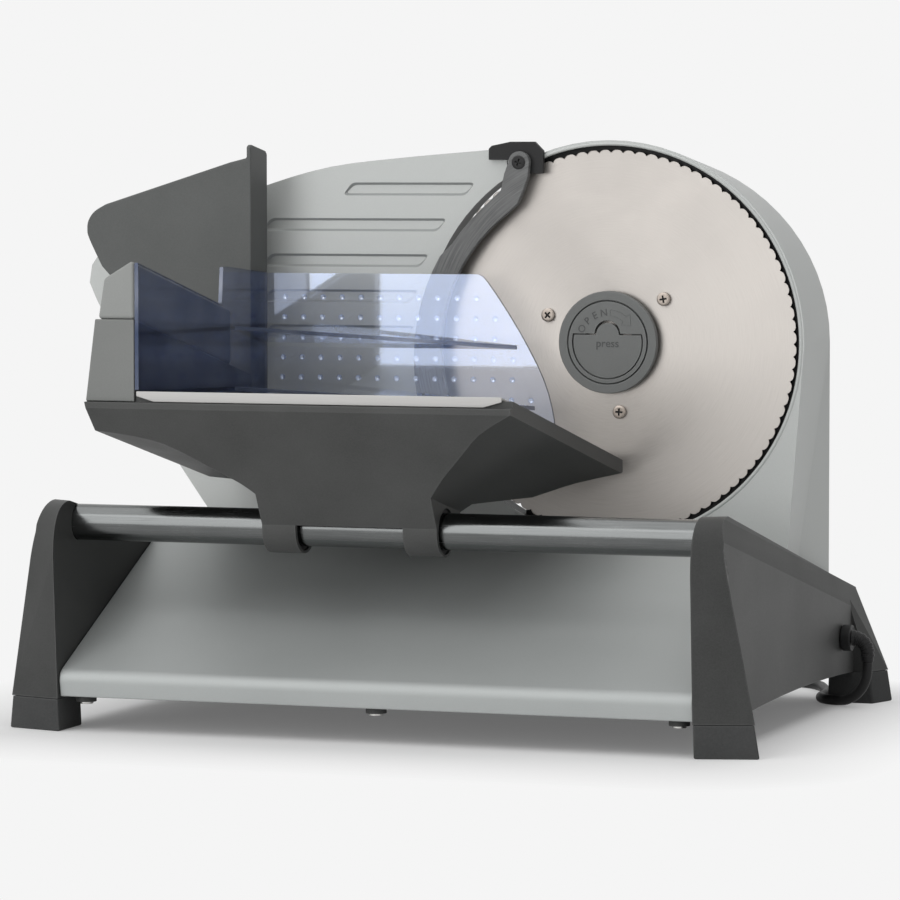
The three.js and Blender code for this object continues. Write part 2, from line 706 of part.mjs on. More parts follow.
const carrierBoss = BLADE_BORE_R + 2.5;
const carrierBlank = turned([
  [BLADE_BORE_R, CARRIER_FRONT],
  [CARRIER_R, CARRIER_FRONT],
  [CARRIER_R, CARRIER_FRONT + CARRIER_T],
  [carrierBoss, CARRIER_FRONT + CARRIER_T],
  [carrierBoss, CARRIER_END],
  [0, CARRIER_END],
  [0, CARRIER_END - CARRIER_BACK],
  [BLADE_BORE_R, CARRIER_END - CARRIER_BACK],
]);
const shankHoles = screwAt.map(([x, z]) => rodY(x, z, SCREW_R + GAP, 0, CARRIER_FRONT + CARRIER_T + OVER));
piece(bladeUnit, 'blade_carrier', cut(carrierBlank, ...shankHoles), STEEL);
screwAt.forEach(([x, z], i) => {
  const head = rodY(x, z, SCREW_HEAD_R, -GAP, BLADE_T);
  const shank = rodY(x, z, SCREW_R, BLADE_T / 2, CARRIER_FRONT + CARRIER_T);
  piece(bladeUnit, `blade_screw_${i + 1}`, join(head, shank), STEEL);
});

const hubBack = -GAP;
const hubFront = hubBack - HUB_T;
const hubRing = turned([
  [HUB_BORE_R, hubBack],
  [HUB_R, hubBack],
  [HUB_R, hubFront],
  [LOCK_R + RUN, hubFront],
  [LOCK_R + RUN, hubBack - HUB_FLOOR],
  [HUB_BORE_R, hubBack - HUB_FLOOR],
]);
piece(bladeUnit, 'hub_ring', hubRing, HUB_GREY);

const lockBack = hubBack - HUB_FLOOR - GAP;
const lockFront = lockBack - LOCK_T;

// Half-moon outline with a round lug on its straight edge.
function tabOutline(grow) {
  const r = TAB_R + grow;
  const chord = TAB_CHORD + grow;
  const side = THREE.MathUtils.radToDeg(Math.asin(chord / r));
  const lugR = TAB_LUG_R + grow;
  return [...arc(0, 0, r, 180 - side, 360 + side, 20), ...arc(0, chord, lugR, 0, 180, 10)];
}
const lockDisc = alongY(arc(0, 0, LOCK_R, 0, 360, FINE).slice(1), lockFront, lockBack, [tabOutline(RUN)]);
piece(bladeUnit, 'lock_disc', lockDisc, HUB_GREY);
piece(bladeUnit, 'lock_tab', alongY(tabOutline(0), lockFront + GAP, lockBack), HUB_GREY);

const rearBushBack = COVER_FLOOR - GAP;
const spindleBack = rearBushBack;
piece(bladeUnit, 'spindle', rodY(0, 0, SPINDLE_R, CARRIER_END + GAP, spindleBack), STEEL);

const wheelOutline = [];
for (let i = 0; i < WHEEL_TEETH; i += 1) {
  const middle = -90 + (360 * i) / WHEEL_TEETH;
  const root = WHEEL_R - TOOTH_IN;
  const tip = WHEEL_R + TOOTH_OUT;
  const rootHalf = THREE.MathUtils.radToDeg(TOOTH_ROOT_W / 2 / root);
  const tipHalf = THREE.MathUtils.radToDeg(TOOTH_TIP_W / 2 / tip);
  wheelOutline.push(arc(0, 0, root, middle - rootHalf, middle - rootHalf, 1)[0]);
  wheelOutline.push(arc(0, 0, tip, middle - tipHalf, middle - tipHalf, 1)[0]);
  wheelOutline.push(arc(0, 0, tip, middle + tipHalf, middle + tipHalf, 1)[0]);
  wheelOutline.push(arc(0, 0, root, middle + rootHalf, middle + rootHalf, 1)[0]);
}
const wheelBore = rodY(0, 0, SPINDLE_R + GAP, WHEEL_Y - WHEEL_W, WHEEL_Y + WHEEL_W);
const wheel = cut(alongY(wheelOutline, WHEEL_Y - WHEEL_W / 2, WHEEL_Y + WHEEL_W / 2), wheelBore);
piece(bladeUnit, 'worm_wheel', wheel, NYLON);

// Blade housing and rear cover
const housing = new THREE.Group();
machine.add(housing);

function housingOutline(shrink) {
  const r = HOUSING_R - shrink;
  const left = HOUSING_LEFT + shrink;
  const top = THREE.MathUtils.radToDeg(Math.acos((left - BLADE_X) / r));
  return [[left, 0], [BLADE_X + r, 0], ...arc(BLADE_X, BLADE_Z, r, 0, top, 22)];
}

// Everything below the upper faces of the deck and the right cap, raised by a gap.
function belowDeck(gap) {
  const back = deckBack + OVER;
  const under = (top) => [
    [DECK_RIDGE_Y, -OVER],
    [back, -OVER],
    [back, top(back) + gap],
    [DECK_RIDGE_Y, top(DECK_RIDGE_Y) + gap],
  ];
  return join(
    alongX(under(deckTop), -BASE_INNER, BASE_INNER),
    alongX(under(capTop), INNER_X - gap, BASE_INNER),
  );
}

const cavityFloor = POCKET_FLOOR + HOUSING_WALL;
const recessBack = RECESS_FLOOR + HOUSING_WALL;
const frontBushR = SPINDLE_R + GAP + BUSH_WALL;
// The top of the housing falls to the rear, by a share of its height above the spindle.
const housingFall = (z, y) => {
  const back = THREE.MathUtils.clamp((y - HOUSING_FRONT) / (HOUSING_BACK - HOUSING_FRONT), 0, 1);
  return (HOUSING_DROP * back * Math.max(z - BLADE_Z, 0)) / HOUSING_R;
};
// The right side leans in towards the table, most at the front.
const leanIn = (solid) => reshape(solid, (p) => {
  const right = p.x > BLADE_X + HOUSING_R / 2 && p.z < BLADE_Z;
  const front = (HOUSING_BACK - p.y) / (HOUSING_BACK - HOUSING_FRONT);
  p.x -= right ? HOUSING_LEAN * (BLADE_Z - p.z) * Math.max(front, 0) : 0;
  p.z -= housingFall(p.z, p.y);
});
const housingBlank = leanIn(alongY(housingOutline(0), HOUSING_FRONT, HOUSING_BACK));
const cavityBlank = leanIn(alongY(housingOutline(HOUSING_WALL), cavityFloor, HOUSING_BACK));
const cavityMouth = leanIn(alongY(housingOutline(HOUSING_WALL), HOUSING_BACK - GAP, HOUSING_BACK + OVER));
const cavity = cut(join(cavityBlank, cavityMouth), belowDeck(GAP + HOUSING_WALL));
const bladePocket = rodY(BLADE_X, BLADE_Z, POCKET_R, HOUSING_FRONT - OVER, POCKET_FLOOR, 2 * FINE);
const recessBoss = rodY(BLADE_X, BLADE_Z, RECESS_R + HOUSING_WALL, cavityFloor - 1, recessBack, FINE);
const recess = rodY(BLADE_X, BLADE_Z, RECESS_R, HOUSING_FRONT - OVER, RECESS_FLOOR, FINE);
const spindleBore = rodY(BLADE_X, BLADE_Z, frontBushR + GAP, HOUSING_FRONT, recessBack + OVER);
const pivotPad = rodY(PIVOT_X, PIVOT_Z, PIVOT_PAD_R, HOUSING_FRONT, cavityFloor + HOUSING_WALL);
const pivotHole = rodY(PIVOT_X, PIVOT_Z, SCREW_R + 2 * GAP, HOUSING_FRONT - OVER, cavityFloor);
const hollow = cut(housingBlank, belowDeck(GAP), cavity, bladePocket);
const withBosses = join(hollow, recessBoss, cut(pivotPad, bladePocket));
piece(housing, 'blade_housing', cut(withBosses, recess, spindleBore, pivotHole), SILVER);

const buttonX = BLADE_X + BUTTON_RIGHT;
const buttonZ = BLADE_Z + BUTTON_UP;
// The rear cover tapers in towards its back.
function taperedCover(shrink, front, back) {
  const narrow = (y) => shrink + (COVER_TAPER * Math.max(y - COVER_FRONT, 0)) / COVER_DEPTH;
  const fallen = (x, y, z) => new THREE.Vector3(x, y, z - housingFall(z, y));
  const ring = (y) => housingOutline(narrow(y)).map(([x, z]) => fallen(x, y, z));
  return skin([ring(front), ring(COVER_FRONT), ring(back)].slice(front < COVER_FRONT ? 0 : 1));
}
const coverBlank = cut(taperedCover(0, COVER_FRONT, COVER_BACK), belowDeck(GAP));
const coverHollow = cut(taperedCover(COVER_WALL, COVER_FRONT - OVER, COVER_FLOOR), belowDeck(GAP + COVER_WALL));
const ventFirst = BLADE_X - ((VENT_COUNT - 1) * VENT_PITCH) / 2;
const ventTop = WORM_AXIS_Z - MOTOR_R / 2;
const vents = Array.from({ length: VENT_COUNT }, (_, i) => {
  const x = ventFirst + i * VENT_PITCH;
  return box(x - VENT_W / 2, x + VENT_W / 2, COVER_FLOOR - OVER, COVER_BACK + OVER, ventTop - VENT_H, ventTop);
});
const buttonHole = rodY(buttonX, buttonZ, BUTTON_R + RUN, COVER_FLOOR - OVER, COVER_BACK + OVER);
piece(housing, 'rear_cover', cut(coverBlank, coverHollow, ...vents, buttonHole), CAP_GREY);
const buttonBack = COVER_BACK + BUTTON_PROUD;
piece(housing, 'power_button', rodY(buttonX, buttonZ, BUTTON_R, buttonBack - BUTTON_LONG, buttonBack), BLACK);

const frontBushY = CARRIER_END + 2 * GAP;
const frontBush = ringY(BLADE_X, BLADE_Z, SPINDLE_R + GAP, frontBushR, frontBushY, frontBushY + BUSH_LONG);
piece(housing, 'front_bush', frontBush, BRASS);
const rearBush = ringY(
  BLADE_X,
  BLADE_Z,
  SPINDLE_R + GAP,
  SPINDLE_R + GAP + BUSH_WALL,
  rearBushBack - BUSH_LONG,
  rearBushBack,
);
piece(housing, 'rear_bush', rearBush, BRASS);

// Drive: motor with its shaft and worm along X, under the wheel
const drive = new THREE.Group();
machine.add(drive);

const wormRight = BLADE_X + WORM_LONG / 2;
const wormLeft = BLADE_X - WORM_LONG / 2;
const motorLeft = wormRight + MOTOR_AWAY;
const shaftLeft = wormLeft - SHAFT_TAIL;

// The thread's centre passes midway between two wheel teeth on the side that faces the wheel.
function thread() {
  const rings = [];
  const steps = THREAD_TURNS * THREAD_STEPS;
  const inner = WORM_CORE_R - GAP;
  for (let i = 0; i <= steps; i += 1) {
    const turn = (i - steps / 2) / THREAD_STEPS;
    const x = BLADE_X + WORM_PITCH * (turn + 0.5);
    const a = 2 * Math.PI * turn + Math.PI / 2;
    const at = (r, dx) => new THREE.Vector3(x + dx, WHEEL_Y + r * Math.cos(a), WORM_AXIS_Z + r * Math.sin(a));
    rings.push([
      at(inner, -THREAD_ROOT_W / 2),
      at(WORM_OUT_R, -THREAD_TIP_W / 2),
      at(WORM_OUT_R, THREAD_TIP_W / 2),
      at(inner, THREAD_ROOT_W / 2),
    ]);
  }
  return skin(rings);
}
const wormCore = rodX(WHEEL_Y, WORM_AXIS_Z, WORM_CORE_R, wormLeft, wormRight);
const wormBore = rodX(WHEEL_Y, WORM_AXIS_Z, SHAFT_R + GAP, wormLeft - OVER, wormRight + OVER);
const wormTrim = rodX(WHEEL_Y, WORM_AXIS_Z, WORM_OUT_R + OVER, wormLeft, wormRight);
const worm = cut(join(wormCore, thread().intersect(wormTrim)), wormBore);
piece(drive, 'worm', worm, BRASS);
piece(drive, 'motor_shaft', rodX(WHEEL_Y, WORM_AXIS_Z, SHAFT_R, shaftLeft, motorLeft + SHAFT_STUB), STEEL);

const shaftHole = rodX(WHEEL_Y, WORM_AXIS_Z, SHAFT_R + GAP, motorLeft - OVER, motorLeft + SHAFT_STUB + GAP);
const motorCan = rodX(WHEEL_Y, WORM_AXIS_Z, MOTOR_R, motorLeft, motorLeft + MOTOR_LONG, FINE);
piece(drive, 'motor', cut(motorCan, shaftHole), MOTOR_GREY);

const wallBehind = cavityFloor + GAP;
const cradleLeft = motorLeft + (MOTOR_LONG - CRADLE_LONG) / 2;
const cradleBlank = box(
  cradleLeft,
  cradleLeft + CRADLE_LONG,
  wallBehind,
  WHEEL_Y - MOTOR_R / 2,
  WORM_AXIS_Z - CRADLE_H / 2,
  WORM_AXIS_Z + CRADLE_H / 2,
);
const motorSeat = rodX(WHEEL_Y, WORM_AXIS_Z, MOTOR_R + GAP, motorLeft - OVER, motorLeft + MOTOR_LONG + OVER, FINE);
const recessClear = rodY(BLADE_X, BLADE_Z, RECESS_R + HOUSING_WALL + GAP, 0, recessBack + GAP, FINE);
piece(drive, 'motor_cradle', cut(cradleBlank, motorSeat, recessClear), CAP_GREY);

const blockLeft = shaftLeft + GAP;
const blockBlank = box(
  blockLeft,
  blockLeft + BLOCK_W,
  wallBehind,
  WHEEL_Y + BLOCK_H / 2,
  WORM_AXIS_Z - BLOCK_H / 2,
  WORM_AXIS_Z + BLOCK_H / 2,
);
const tailHole = rodX(WHEEL_Y, WORM_AXIS_Z, SHAFT_R + GAP, blockLeft - OVER, blockLeft + BLOCK_W + OVER);
piece(drive, 'shaft_block', cut(blockBlank, tailHole, recessClear), NYLON);

// Thickness guide plate with its post, support and dial
const guide = new THREE.Group();
machine.add(guide);

const guideArcLow = THREE.MathUtils.radToDeg(Math.acos((HOUSING_LEFT - RUN - BLADE_X) / POCKET_R));
const guideRight = HOUSING_LEFT - RUN;
const guideFallPoints = [
  [0, 0],
  [0.084, 0.031],
  [0.301, 0.111],
  [0.472, 0.203],
  [0.628, 0.39],
  [0.835, 0.713],
  [1, 1],
].map(([along, down]) => new THREE.Vector2(
  THREE.MathUtils.lerp(PIVOT_X, GUIDE_SHOULDER_X, along),
  THREE.MathUtils.lerp(GUIDE_TOP, GUIDE_SHOULDER_Z, down),
));
const guideFall = new THREE.SplineCurve(guideFallPoints).getPoints(EDGE_STEPS).map((p) => [p.x, p.y]);
const guideEnd = [
  [GUIDE_LEFT + GUIDE_TIP_R * 0.39, GUIDE_TIP_Z + GUIDE_TIP_R],
  [GUIDE_LEFT + GUIDE_TIP_R * 0.09, GUIDE_TIP_Z + GUIDE_TIP_R * 0.58],
  [GUIDE_LEFT, GUIDE_TIP_Z],
  [GUIDE_LEFT + GUIDE_TIP_R * 0.26, GUIDE_TIP_Z - GUIDE_TIP_R * 0.58],
  [GUIDE_FOOT_X - GUIDE_FOOT_R, GUIDE_BOTTOM + GUIDE_FOOT_R * 1.52],
  [GUIDE_FOOT_X - GUIDE_FOOT_R * 0.4, GUIDE_BOTTOM + GUIDE_FOOT_R * 0.68],
  [GUIDE_FOOT_X, GUIDE_BOTTOM],
];
const guideOutline = [
  ...guideFall,
  ...guideEnd,
  [guideRight, GUIDE_BOTTOM],
  ...arc(BLADE_X, BLADE_Z, POCKET_R, 360 - guideArcLow, guideArcLow, 28),
];
const padClear = rodY(PIVOT_X, PIVOT_Z, PIVOT_PAD_R + RUN, -OVER, GUIDE_FRONT + GUIDE_DEEP + OVER);
const rightTrim = box(
  guideRight,
  guideRight + PIVOT_PAD_R + OVER,
  -OVER,
  GUIDE_FRONT + GUIDE_DEEP + OVER,
  BLADE_Z,
  GUIDE_TOP + OVER,
);
const guideBlank = cut(
  alongY(guideOutline, GUIDE_FRONT, GUIDE_FRONT + GUIDE_DEEP),
  padClear,
  rightTrim,
);
const guideHollow = cut(
  alongY(inset(guideOutline, GUIDE_WALL), GUIDE_FRONT + GUIDE_WALL, GUIDE_FRONT + GUIDE_DEEP + OVER),
  rodY(PIVOT_X, PIVOT_Z, PIVOT_PAD_R + RUN + GUIDE_WALL, -OVER, GUIDE_FRONT + GUIDE_DEEP + 2 * OVER),
  rightTrim,
);
const ribs = Array.from({ length: RIB_COUNT }, (_, i) => {
  const z = RIB_TOP_Z - i * RIB_PITCH;
  const reach = Math.sqrt(RIB_ARC_R ** 2 - (z - BLADE_Z) ** 2);
  const right = BLADE_X - reach;
  const left = i === 0 ? RIB_FIRST_LEFT : RIB_LEFT;
  return alongY(
    [
      [left, z - RIB_H / 2],
      [right - RIB_SLANT / 2, z - RIB_H / 2],
      [right + RIB_SLANT / 2, z + RIB_H / 2],
      [left + RIB_SLANT, z + RIB_H / 2],
    ],
    GUIDE_FRONT - OVER,
    GUIDE_FRONT + RIB_DEEP,
  );
});
piece(guide, 'guide_plate', cut(guideBlank, guideHollow, ...ribs), SILVER);

const postFront = GUIDE_FRONT + GUIDE_WALL + GAP;
const postBack = postFront + POST_LONG;
const postBore = rodY(POST_X, POST_Z, DIAL_SCREW_R + GAP, postBack - POST_BORE, postBack + OVER);
piece(guide, 'guide_post', cut(rodY(POST_X, POST_Z, POST_R, postFront, postBack), postBore), STEEL);

const guideBushR = POST_R + GAP + SUPPORT_WALL;
const supportLeft = POST_X - SUPPORT_W / 2;
const supportBlank = box(supportLeft, supportLeft + SUPPORT_W, SUPPORT_FRONT, SUPPORT_BACK, 0, SUPPORT_TOP);
const supportHollow = box(
  supportLeft + SUPPORT_WALL,
  supportLeft + SUPPORT_W - SUPPORT_WALL,
  SUPPORT_FRONT + SUPPORT_WALL,
  SUPPORT_BACK + OVER,
  deckTop(SUPPORT_FRONT) + SUPPORT_WALL,
  SUPPORT_TOP - SUPPORT_WALL,
);
const bushHole = rodY(POST_X, POST_Z, guideBushR + GAP, SUPPORT_FRONT - OVER, SUPPORT_FRONT + SUPPORT_WALL + OVER);
piece(guide, 'guide_support', cut(supportBlank, supportHollow, belowDeck(GAP), bushHole), CAP_GREY);
const guideBush = ringY(POST_X, POST_Z, POST_R + GAP, guideBushR, SUPPORT_FRONT, SUPPORT_FRONT + BUSH_LONG);
piece(guide, 'guide_bush', guideBush, BRASS);

const supportCoverFront = SUPPORT_BACK + GAP;
const supportCoverBack = supportCoverFront + SUPPORT_WALL;
const supportCover = cut(
  box(supportLeft, supportLeft + SUPPORT_W, supportCoverFront, supportCoverBack, 0, SUPPORT_TOP),
  belowDeck(GAP),
  rodY(POST_X, POST_Z, DIAL_SCREW_R + GAP, SUPPORT_BACK - OVER, supportCoverBack + OVER),
);
piece(guide, 'support_cover', supportCover, CAP_GREY);

const dialFront = supportCoverBack + RUN;
const dialBack = dialFront + DIAL_T;
const dialOutline = [];
for (let i = 0; i < 2 * DIAL_LOBES; i += 1) {
  const r = i % 2 ? DIAL_R - DIAL_LOBE : DIAL_R;
  const a = (180 * i) / DIAL_LOBES;
  dialOutline.push(arc(POST_X, POST_Z, r, a, a, 1)[0]);
}
const dialBore = rodY(POST_X, POST_Z, DIAL_SCREW_R + GAP, dialFront - OVER, dialFront + DIAL_BORE);
piece(guide, 'thickness_dial', cut(alongY(dialOutline, dialFront, dialBack), dialBore), CAP_GREY);
const dialScrew = rodY(POST_X, POST_Z, DIAL_SCREW_R, DIAL_SCREW_TIP, dialFront + DIAL_BORE - GAP);
piece(guide, 'dial_screw', dialScrew, STEEL);

// Edge guard: an arm that covers the cutting edge and swings up about a screw in the bracket
const edge = new THREE.Group();
machine.add(edge);

const guardIn = { x: BLADE_X - 3.1, z: BLADE_Z - 4.1 };
const guardOut = { x: BLADE_X + 1.8, z: BLADE_Z - 8.9 };
const guardOutline = [
  ...arc(PIVOT_X, PIVOT_Z, GUARD_HALF_W, 0, 180, 10),
  [PIVOT_X - GUARD_HALF_W - 1, PIVOT_Z - 7.5],
  [PIVOT_X - GUARD_HALF_W - 3.9, PIVOT_Z - 13.8],
  ...arc(guardOut.x, guardOut.z, GUARD_OUT_R, 131.3, GUARD_END_DEG - 4, 20),
  ...arc(guardIn.x, guardIn.z, GUARD_IN_R, GUARD_END_DEG + 3, 129.4, 20),
  [PIVOT_X - 0.7, PIVOT_Z - 20.8],
  [PIVOT_X + GUARD_HALF_W - 3.3, PIVOT_Z - 14.4],
  [PIVOT_X + GUARD_HALF_W - 0.7, PIVOT_Z - 7.5],
];
const guardHole = rodY(PIVOT_X, PIVOT_Z, SCREW_R + 2 * GAP, GUARD_FRONT - OVER, GUARD_BACK + OVER);
piece(edge, 'edge_guard', cut(alongY(guardOutline, GUARD_FRONT, GUARD_BACK), guardHole), ARM_GREY);

const bracketBack = HOUSING_FRONT - GAP;
const bracketFront = bracketBack - BRACKET_T;
const bracketLeft = PIVOT_X - BRACKET_TO_LEFT;
const bracketRight = PIVOT_X + BRACKET_TO_RIGHT;
const bracketTop = PIVOT_Z + BRACKET_UP;
const bracketOutline = [
  [bracketLeft, bracketTop - BRACKET_BAR - BRACKET_FALL],
  [PIVOT_X - GUARD_HALF_W, bracketTop - BRACKET_BAR - BRACKET_FALL],
  [PIVOT_X - GUARD_HALF_W, PIVOT_Z - BRACKET_DOWN],
  [bracketRight, PIVOT_Z - BRACKET_DOWN],
  [bracketRight, bracketTop - BRACKET_CUT],
  [bracketRight - BRACKET_CUT, bracketTop],
  [PIVOT_X - GUARD_HALF_W, bracketTop],
  [bracketLeft + BRACKET_SOFT, bracketTop - BRACKET_FALL],
  [bracketLeft, bracketTop - BRACKET_FALL - BRACKET_SOFT],
];
const bracketHole = rodY(PIVOT_X, PIVOT_Z, SCREW_R + 2 * GAP, bracketFront - OVER, bracketBack + OVER);
piece(edge, 'guard_bracket', cut(alongY(bracketOutline, bracketFront, bracketBack), bracketHole), BLACK);
const pivotHead = rodY(PIVOT_X, PIVOT_Z, SCREW_HEAD_R, GUARD_FRONT - GAP - 1, GUARD_FRONT - GAP);
const pivotShank = rodY(PIVOT_X, PIVOT_Z, SCREW_R + GAP, GUARD_FRONT - GAP - 1, cavityFloor - 2);
piece(edge, 'guard_screw', join(pivotHead, pivotShank), BLACK);

// Carriage: funnel-shaped body with lugs round the rail, tray plate, left wall and hand guard
const carriage = new THREE.Group();
machine.add(carriage);

const slope = (solid) => reshape(solid, (p) => p.setZ(p.z - FALL * (p.y - TRAY_FRONT)));
const bodyRim = TRAY_TOP - TRAY_LIP - GAP;
const bodyFlat = TRAY_TOP - TRAY_T - GAP;
const bodyRight = TRAY_RIGHT + BODY_RIM;
const lugInLeft = LUG_LEFT + LUG_W;
const lugInRight = LUG_RIGHT - LUG_W;
// A smooth edge between two corners, through points given as shares of its width and height.
function flank(x0, z0, x1, z1, shares) {
  const points = shares.map(([along, down]) => {
    return new THREE.Vector2(THREE.MathUtils.lerp(x0, x1, along), THREE.MathUtils.lerp(z0, z1, down));
  });
  return new THREE.SplineCurve(points).getPoints(FLANK_STEPS).map((p) => [p.x, p.y]);
}
const leftShares = [
  [0, 0],
  [0.25, 0.08],
  [0.45, 0.2],
  [0.64, 0.44],
  [0.81, 0.68],
  [0.92, 0.84],
  [1, 1],
];
const rightShares = [
  [0, 0],
  [0.17, 0.235],
  [0.38, 0.475],
  [0.64, 0.763],
  [1, 1],
];
const flankFoot = bodyRim - FLANK_DROP;
const leftFlank = [
  [BODY_LEFT, bodyRim],
  ...flank(BODY_LEFT + FLANK_IN, bodyRim - FLANK_RIM, LUG_LEFT, flankFoot, leftShares),
];
const rightFlank = flank(LUG_RIGHT, flankFoot, bodyRight, bodyRim - FLANK_RIGHT_RIM, rightShares);
function funnel(foot, lift, shrink) {
  const left = leftFlank.map(([x, z]) => [x + shrink, z + shrink * 0.7]);
  const right = rightFlank.map(([x, z]) => [x - shrink, z + shrink * 0.7]);
  return [
    [BODY_LEFT + shrink, bodyFlat + lift],
    ...left,
    [LUG_LEFT + shrink, foot],
    [LUG_RIGHT - shrink, foot],
    ...right,
    [bodyRight - shrink, bodyFlat + lift],
  ];
}
const lugFront = RAIL_Y - LUG_DEEP / 2;
const lugBack = lugFront + LUG_DEEP;
const skirtFoot = SKIRT_FOOT_Z - FALL * (lugFront - TRAY_FRONT);
const rimFront = TRAY_FRONT - 2;
const rimBack = TRAY_FRONT + TRAY_T + GAP;
const bodySide = [
  [rimFront, bodyRim],
  [rimFront, bodyRim - 3],
  [lugFront, skirtFoot],
  [lugBack, skirtFoot],
  [lugBack + 12, bodyTop(TRAY_REAR) - 16],
  [TRAY_REAR - 50, bodyTop(TRAY_REAR) - 16],
  [TRAY_REAR, bodyTop(TRAY_REAR) - BODY_EDGE],
  [TRAY_REAR, bodyTop(TRAY_REAR)],
  [rimBack, bodyTop(rimBack)],
  [rimBack, bodyRim],
];
const hollowFront = lugBack + BODY_WALL;
const hollowBack = TRAY_REAR - BODY_WALL;
const hollowSide = [
  [hollowFront, 0],
  [hollowBack, 0],
  [hollowBack, bodyTop(hollowBack) - BODY_WALL],
  [hollowFront, bodyTop(hollowFront) - BODY_WALL],
];
const across = (outline) => alongX(outline, BODY_LEFT - OVER, bodyRight + OVER);
const bodyBlank = slope(alongY(funnel(SKIRT_FOOT_Z, 1, 0), rimFront, TRAY_REAR)).intersect(across(bodySide));
const bodyHollow = slope(alongY(funnel(0, 1, BODY_WALL), rimFront, TRAY_REAR)).intersect(across(hollowSide));
const railBushR = RAIL_R + GAP + RAIL_BUSH_WALL;
const lugBottom = RAIL_Z - railBushR - GAP - LUG_WALL;
const lugTop = skirtFoot + 8;
const lugSpread = LUG_DEEP / 2 / (RAIL_Z - lugBottom);
const lugRound = arc(0, 0, RAIL_Z - lugBottom, 180, 360, ROUND / 2);
const lugSide = [
  ...lugRound.map(([y, z]) => [RAIL_Y + y * lugSpread, RAIL_Z + z]),
  [lugBack, lugTop],
  [lugFront, lugTop],
];
const leftLug = alongX(lugSide, LUG_LEFT, lugInLeft);
const rightLug = alongX(lugSide, lugInRight, LUG_RIGHT);
const lugBore = rodX(RAIL_Y, RAIL_Z, railBushR + GAP, LUG_LEFT - OVER, LUG_RIGHT + OVER);
const carriageBody = cut(join(cut(bodyBlank, bodyHollow), leftLug, rightLug), lugBore);
piece(carriage, 'carriage_body', carriageBody, CARRIAGE_GREY);
const leftBush = ringX(RAIL_Y, RAIL_Z, RAIL_R + GAP, railBushR, LUG_LEFT + 1, lugInLeft - 1);
const rightBush = ringX(RAIL_Y, RAIL_Z, RAIL_R + GAP, railBushR, lugInRight + 1, LUG_RIGHT - 1);
piece(carriage, 'left_rail_bush', leftBush, BLACK);
piece(carriage, 'right_rail_bush', rightBush, BLACK);

const traySheet = alongX(
  [
    [TRAY_FRONT, TRAY_TOP - TRAY_T],
    [TRAY_REAR, trayTop(TRAY_REAR) - TRAY_T],
    [TRAY_REAR, trayTop(TRAY_REAR)],
    [TRAY_FRONT, TRAY_TOP],
  ],
  TRAY_LEFT,
  TRAY_RIGHT,
);
const trayLip = alongY(
  [
    [TRAY_LEFT, TRAY_TOP - TRAY_LIP_END],
    [TRAY_LEFT + TRAY_LIP_CUT, TRAY_TOP - TRAY_LIP],
    [TRAY_RIGHT - TRAY_LIP_CUT, TRAY_TOP - TRAY_LIP],
    [TRAY_RIGHT, TRAY_TOP - TRAY_LIP_END],
    [TRAY_RIGHT, TRAY_TOP - TRAY_T / 2],
    [TRAY_LEFT, TRAY_TOP - TRAY_T / 2],
  ],
  TRAY_FRONT,
  TRAY_FRONT + TRAY_T,
);
piece(carriage, 'tray_plate', join(traySheet, trayLip), STEEL);

const wallRight = TRAY_LEFT - RUN - GAP;
const wallSide = [
  [TRAY_FRONT, bodyRim + GAP],
  [rimBack - GAP, bodyRim + GAP],
  [rimBack - GAP, bodyTop(rimBack - GAP) + GAP],
  [WALL_REAR, bodyTop(WALL_REAR) + GAP],
  [WALL_REAR, wallTop(WALL_REAR)],
  [TRAY_FRONT, WALL_TOP],
];
const leftWall = reshape(alongX(wallSide, BODY_LEFT, wallRight), (p) => {
  const up = (p.z - bodyRim + FALL * (p.y - TRAY_FRONT)) / (WALL_TOP - bodyRim);
  p.x += p.x < wallRight - 1 ? WALL_LEAN * up : 0;
});
piece(carriage, 'carriage_wall', leftWall, WALL_GREY);

const panelFront = WALL_REAR + GAP;
const panelBack = panelFront + GUARD_PANEL_T;
const flangeLeft = wallRight - FLANGE_T;
const panelFoot = bodyTop(panelFront) + GAP;
const panelTip = GUARD_PANEL_TOP - GUARD_PANEL_FALL - GUARD_PANEL_R * 1.4;
const panelEndPoints = [
  [1.15, 1.4],
  [0.45, 1],
  [0.08, 0.5],
  [0, 0],
  [0.12, -0.55],
  [0.9, -2.1],
].map(([x, z]) => new THREE.Vector2(GUARD_PANEL_LEFT + GUARD_PANEL_R * x, panelTip + GUARD_PANEL_R * z));
const panelEnd = new THREE.SplineCurve(panelEndPoints).getPoints(EDGE_STEPS).map((p) => [p.x, p.y]);
const panelOutline = [
  [flangeLeft + 1, panelFoot],
  [flangeLeft + 1, GUARD_PANEL_TOP],
  [flangeLeft - GUARD_PANEL_R, GUARD_PANEL_TOP - FLANGE_T],
  ...panelEnd,
  [BODY_LEFT, panelFoot + 30],
  [BODY_LEFT + 4, panelFoot],
].reverse();
const flangeSide = [
  [panelFront, panelFoot],
  [FLANGE_REAR, panelFoot],
  [FLANGE_REAR, FLANGE_TOP - 4.5],
  [FLANGE_REAR - 2, FLANGE_TOP - 3],
  [panelFront + 2, FLANGE_TOP],
  [panelFront, FLANGE_TOP - 1],
];
const handGuard = join(
  alongY(panelOutline, panelFront, panelBack),
  alongX(flangeSide, flangeLeft, wallRight),
);
piece(carriage, 'hand_guard', handGuard, HAND_GUARD_GREY);

// Pusher: a clear L of wall and plate with two gussets, and the handle that rides on the left wall
const pusher = new THREE.Group();
carriage.add(pusher);

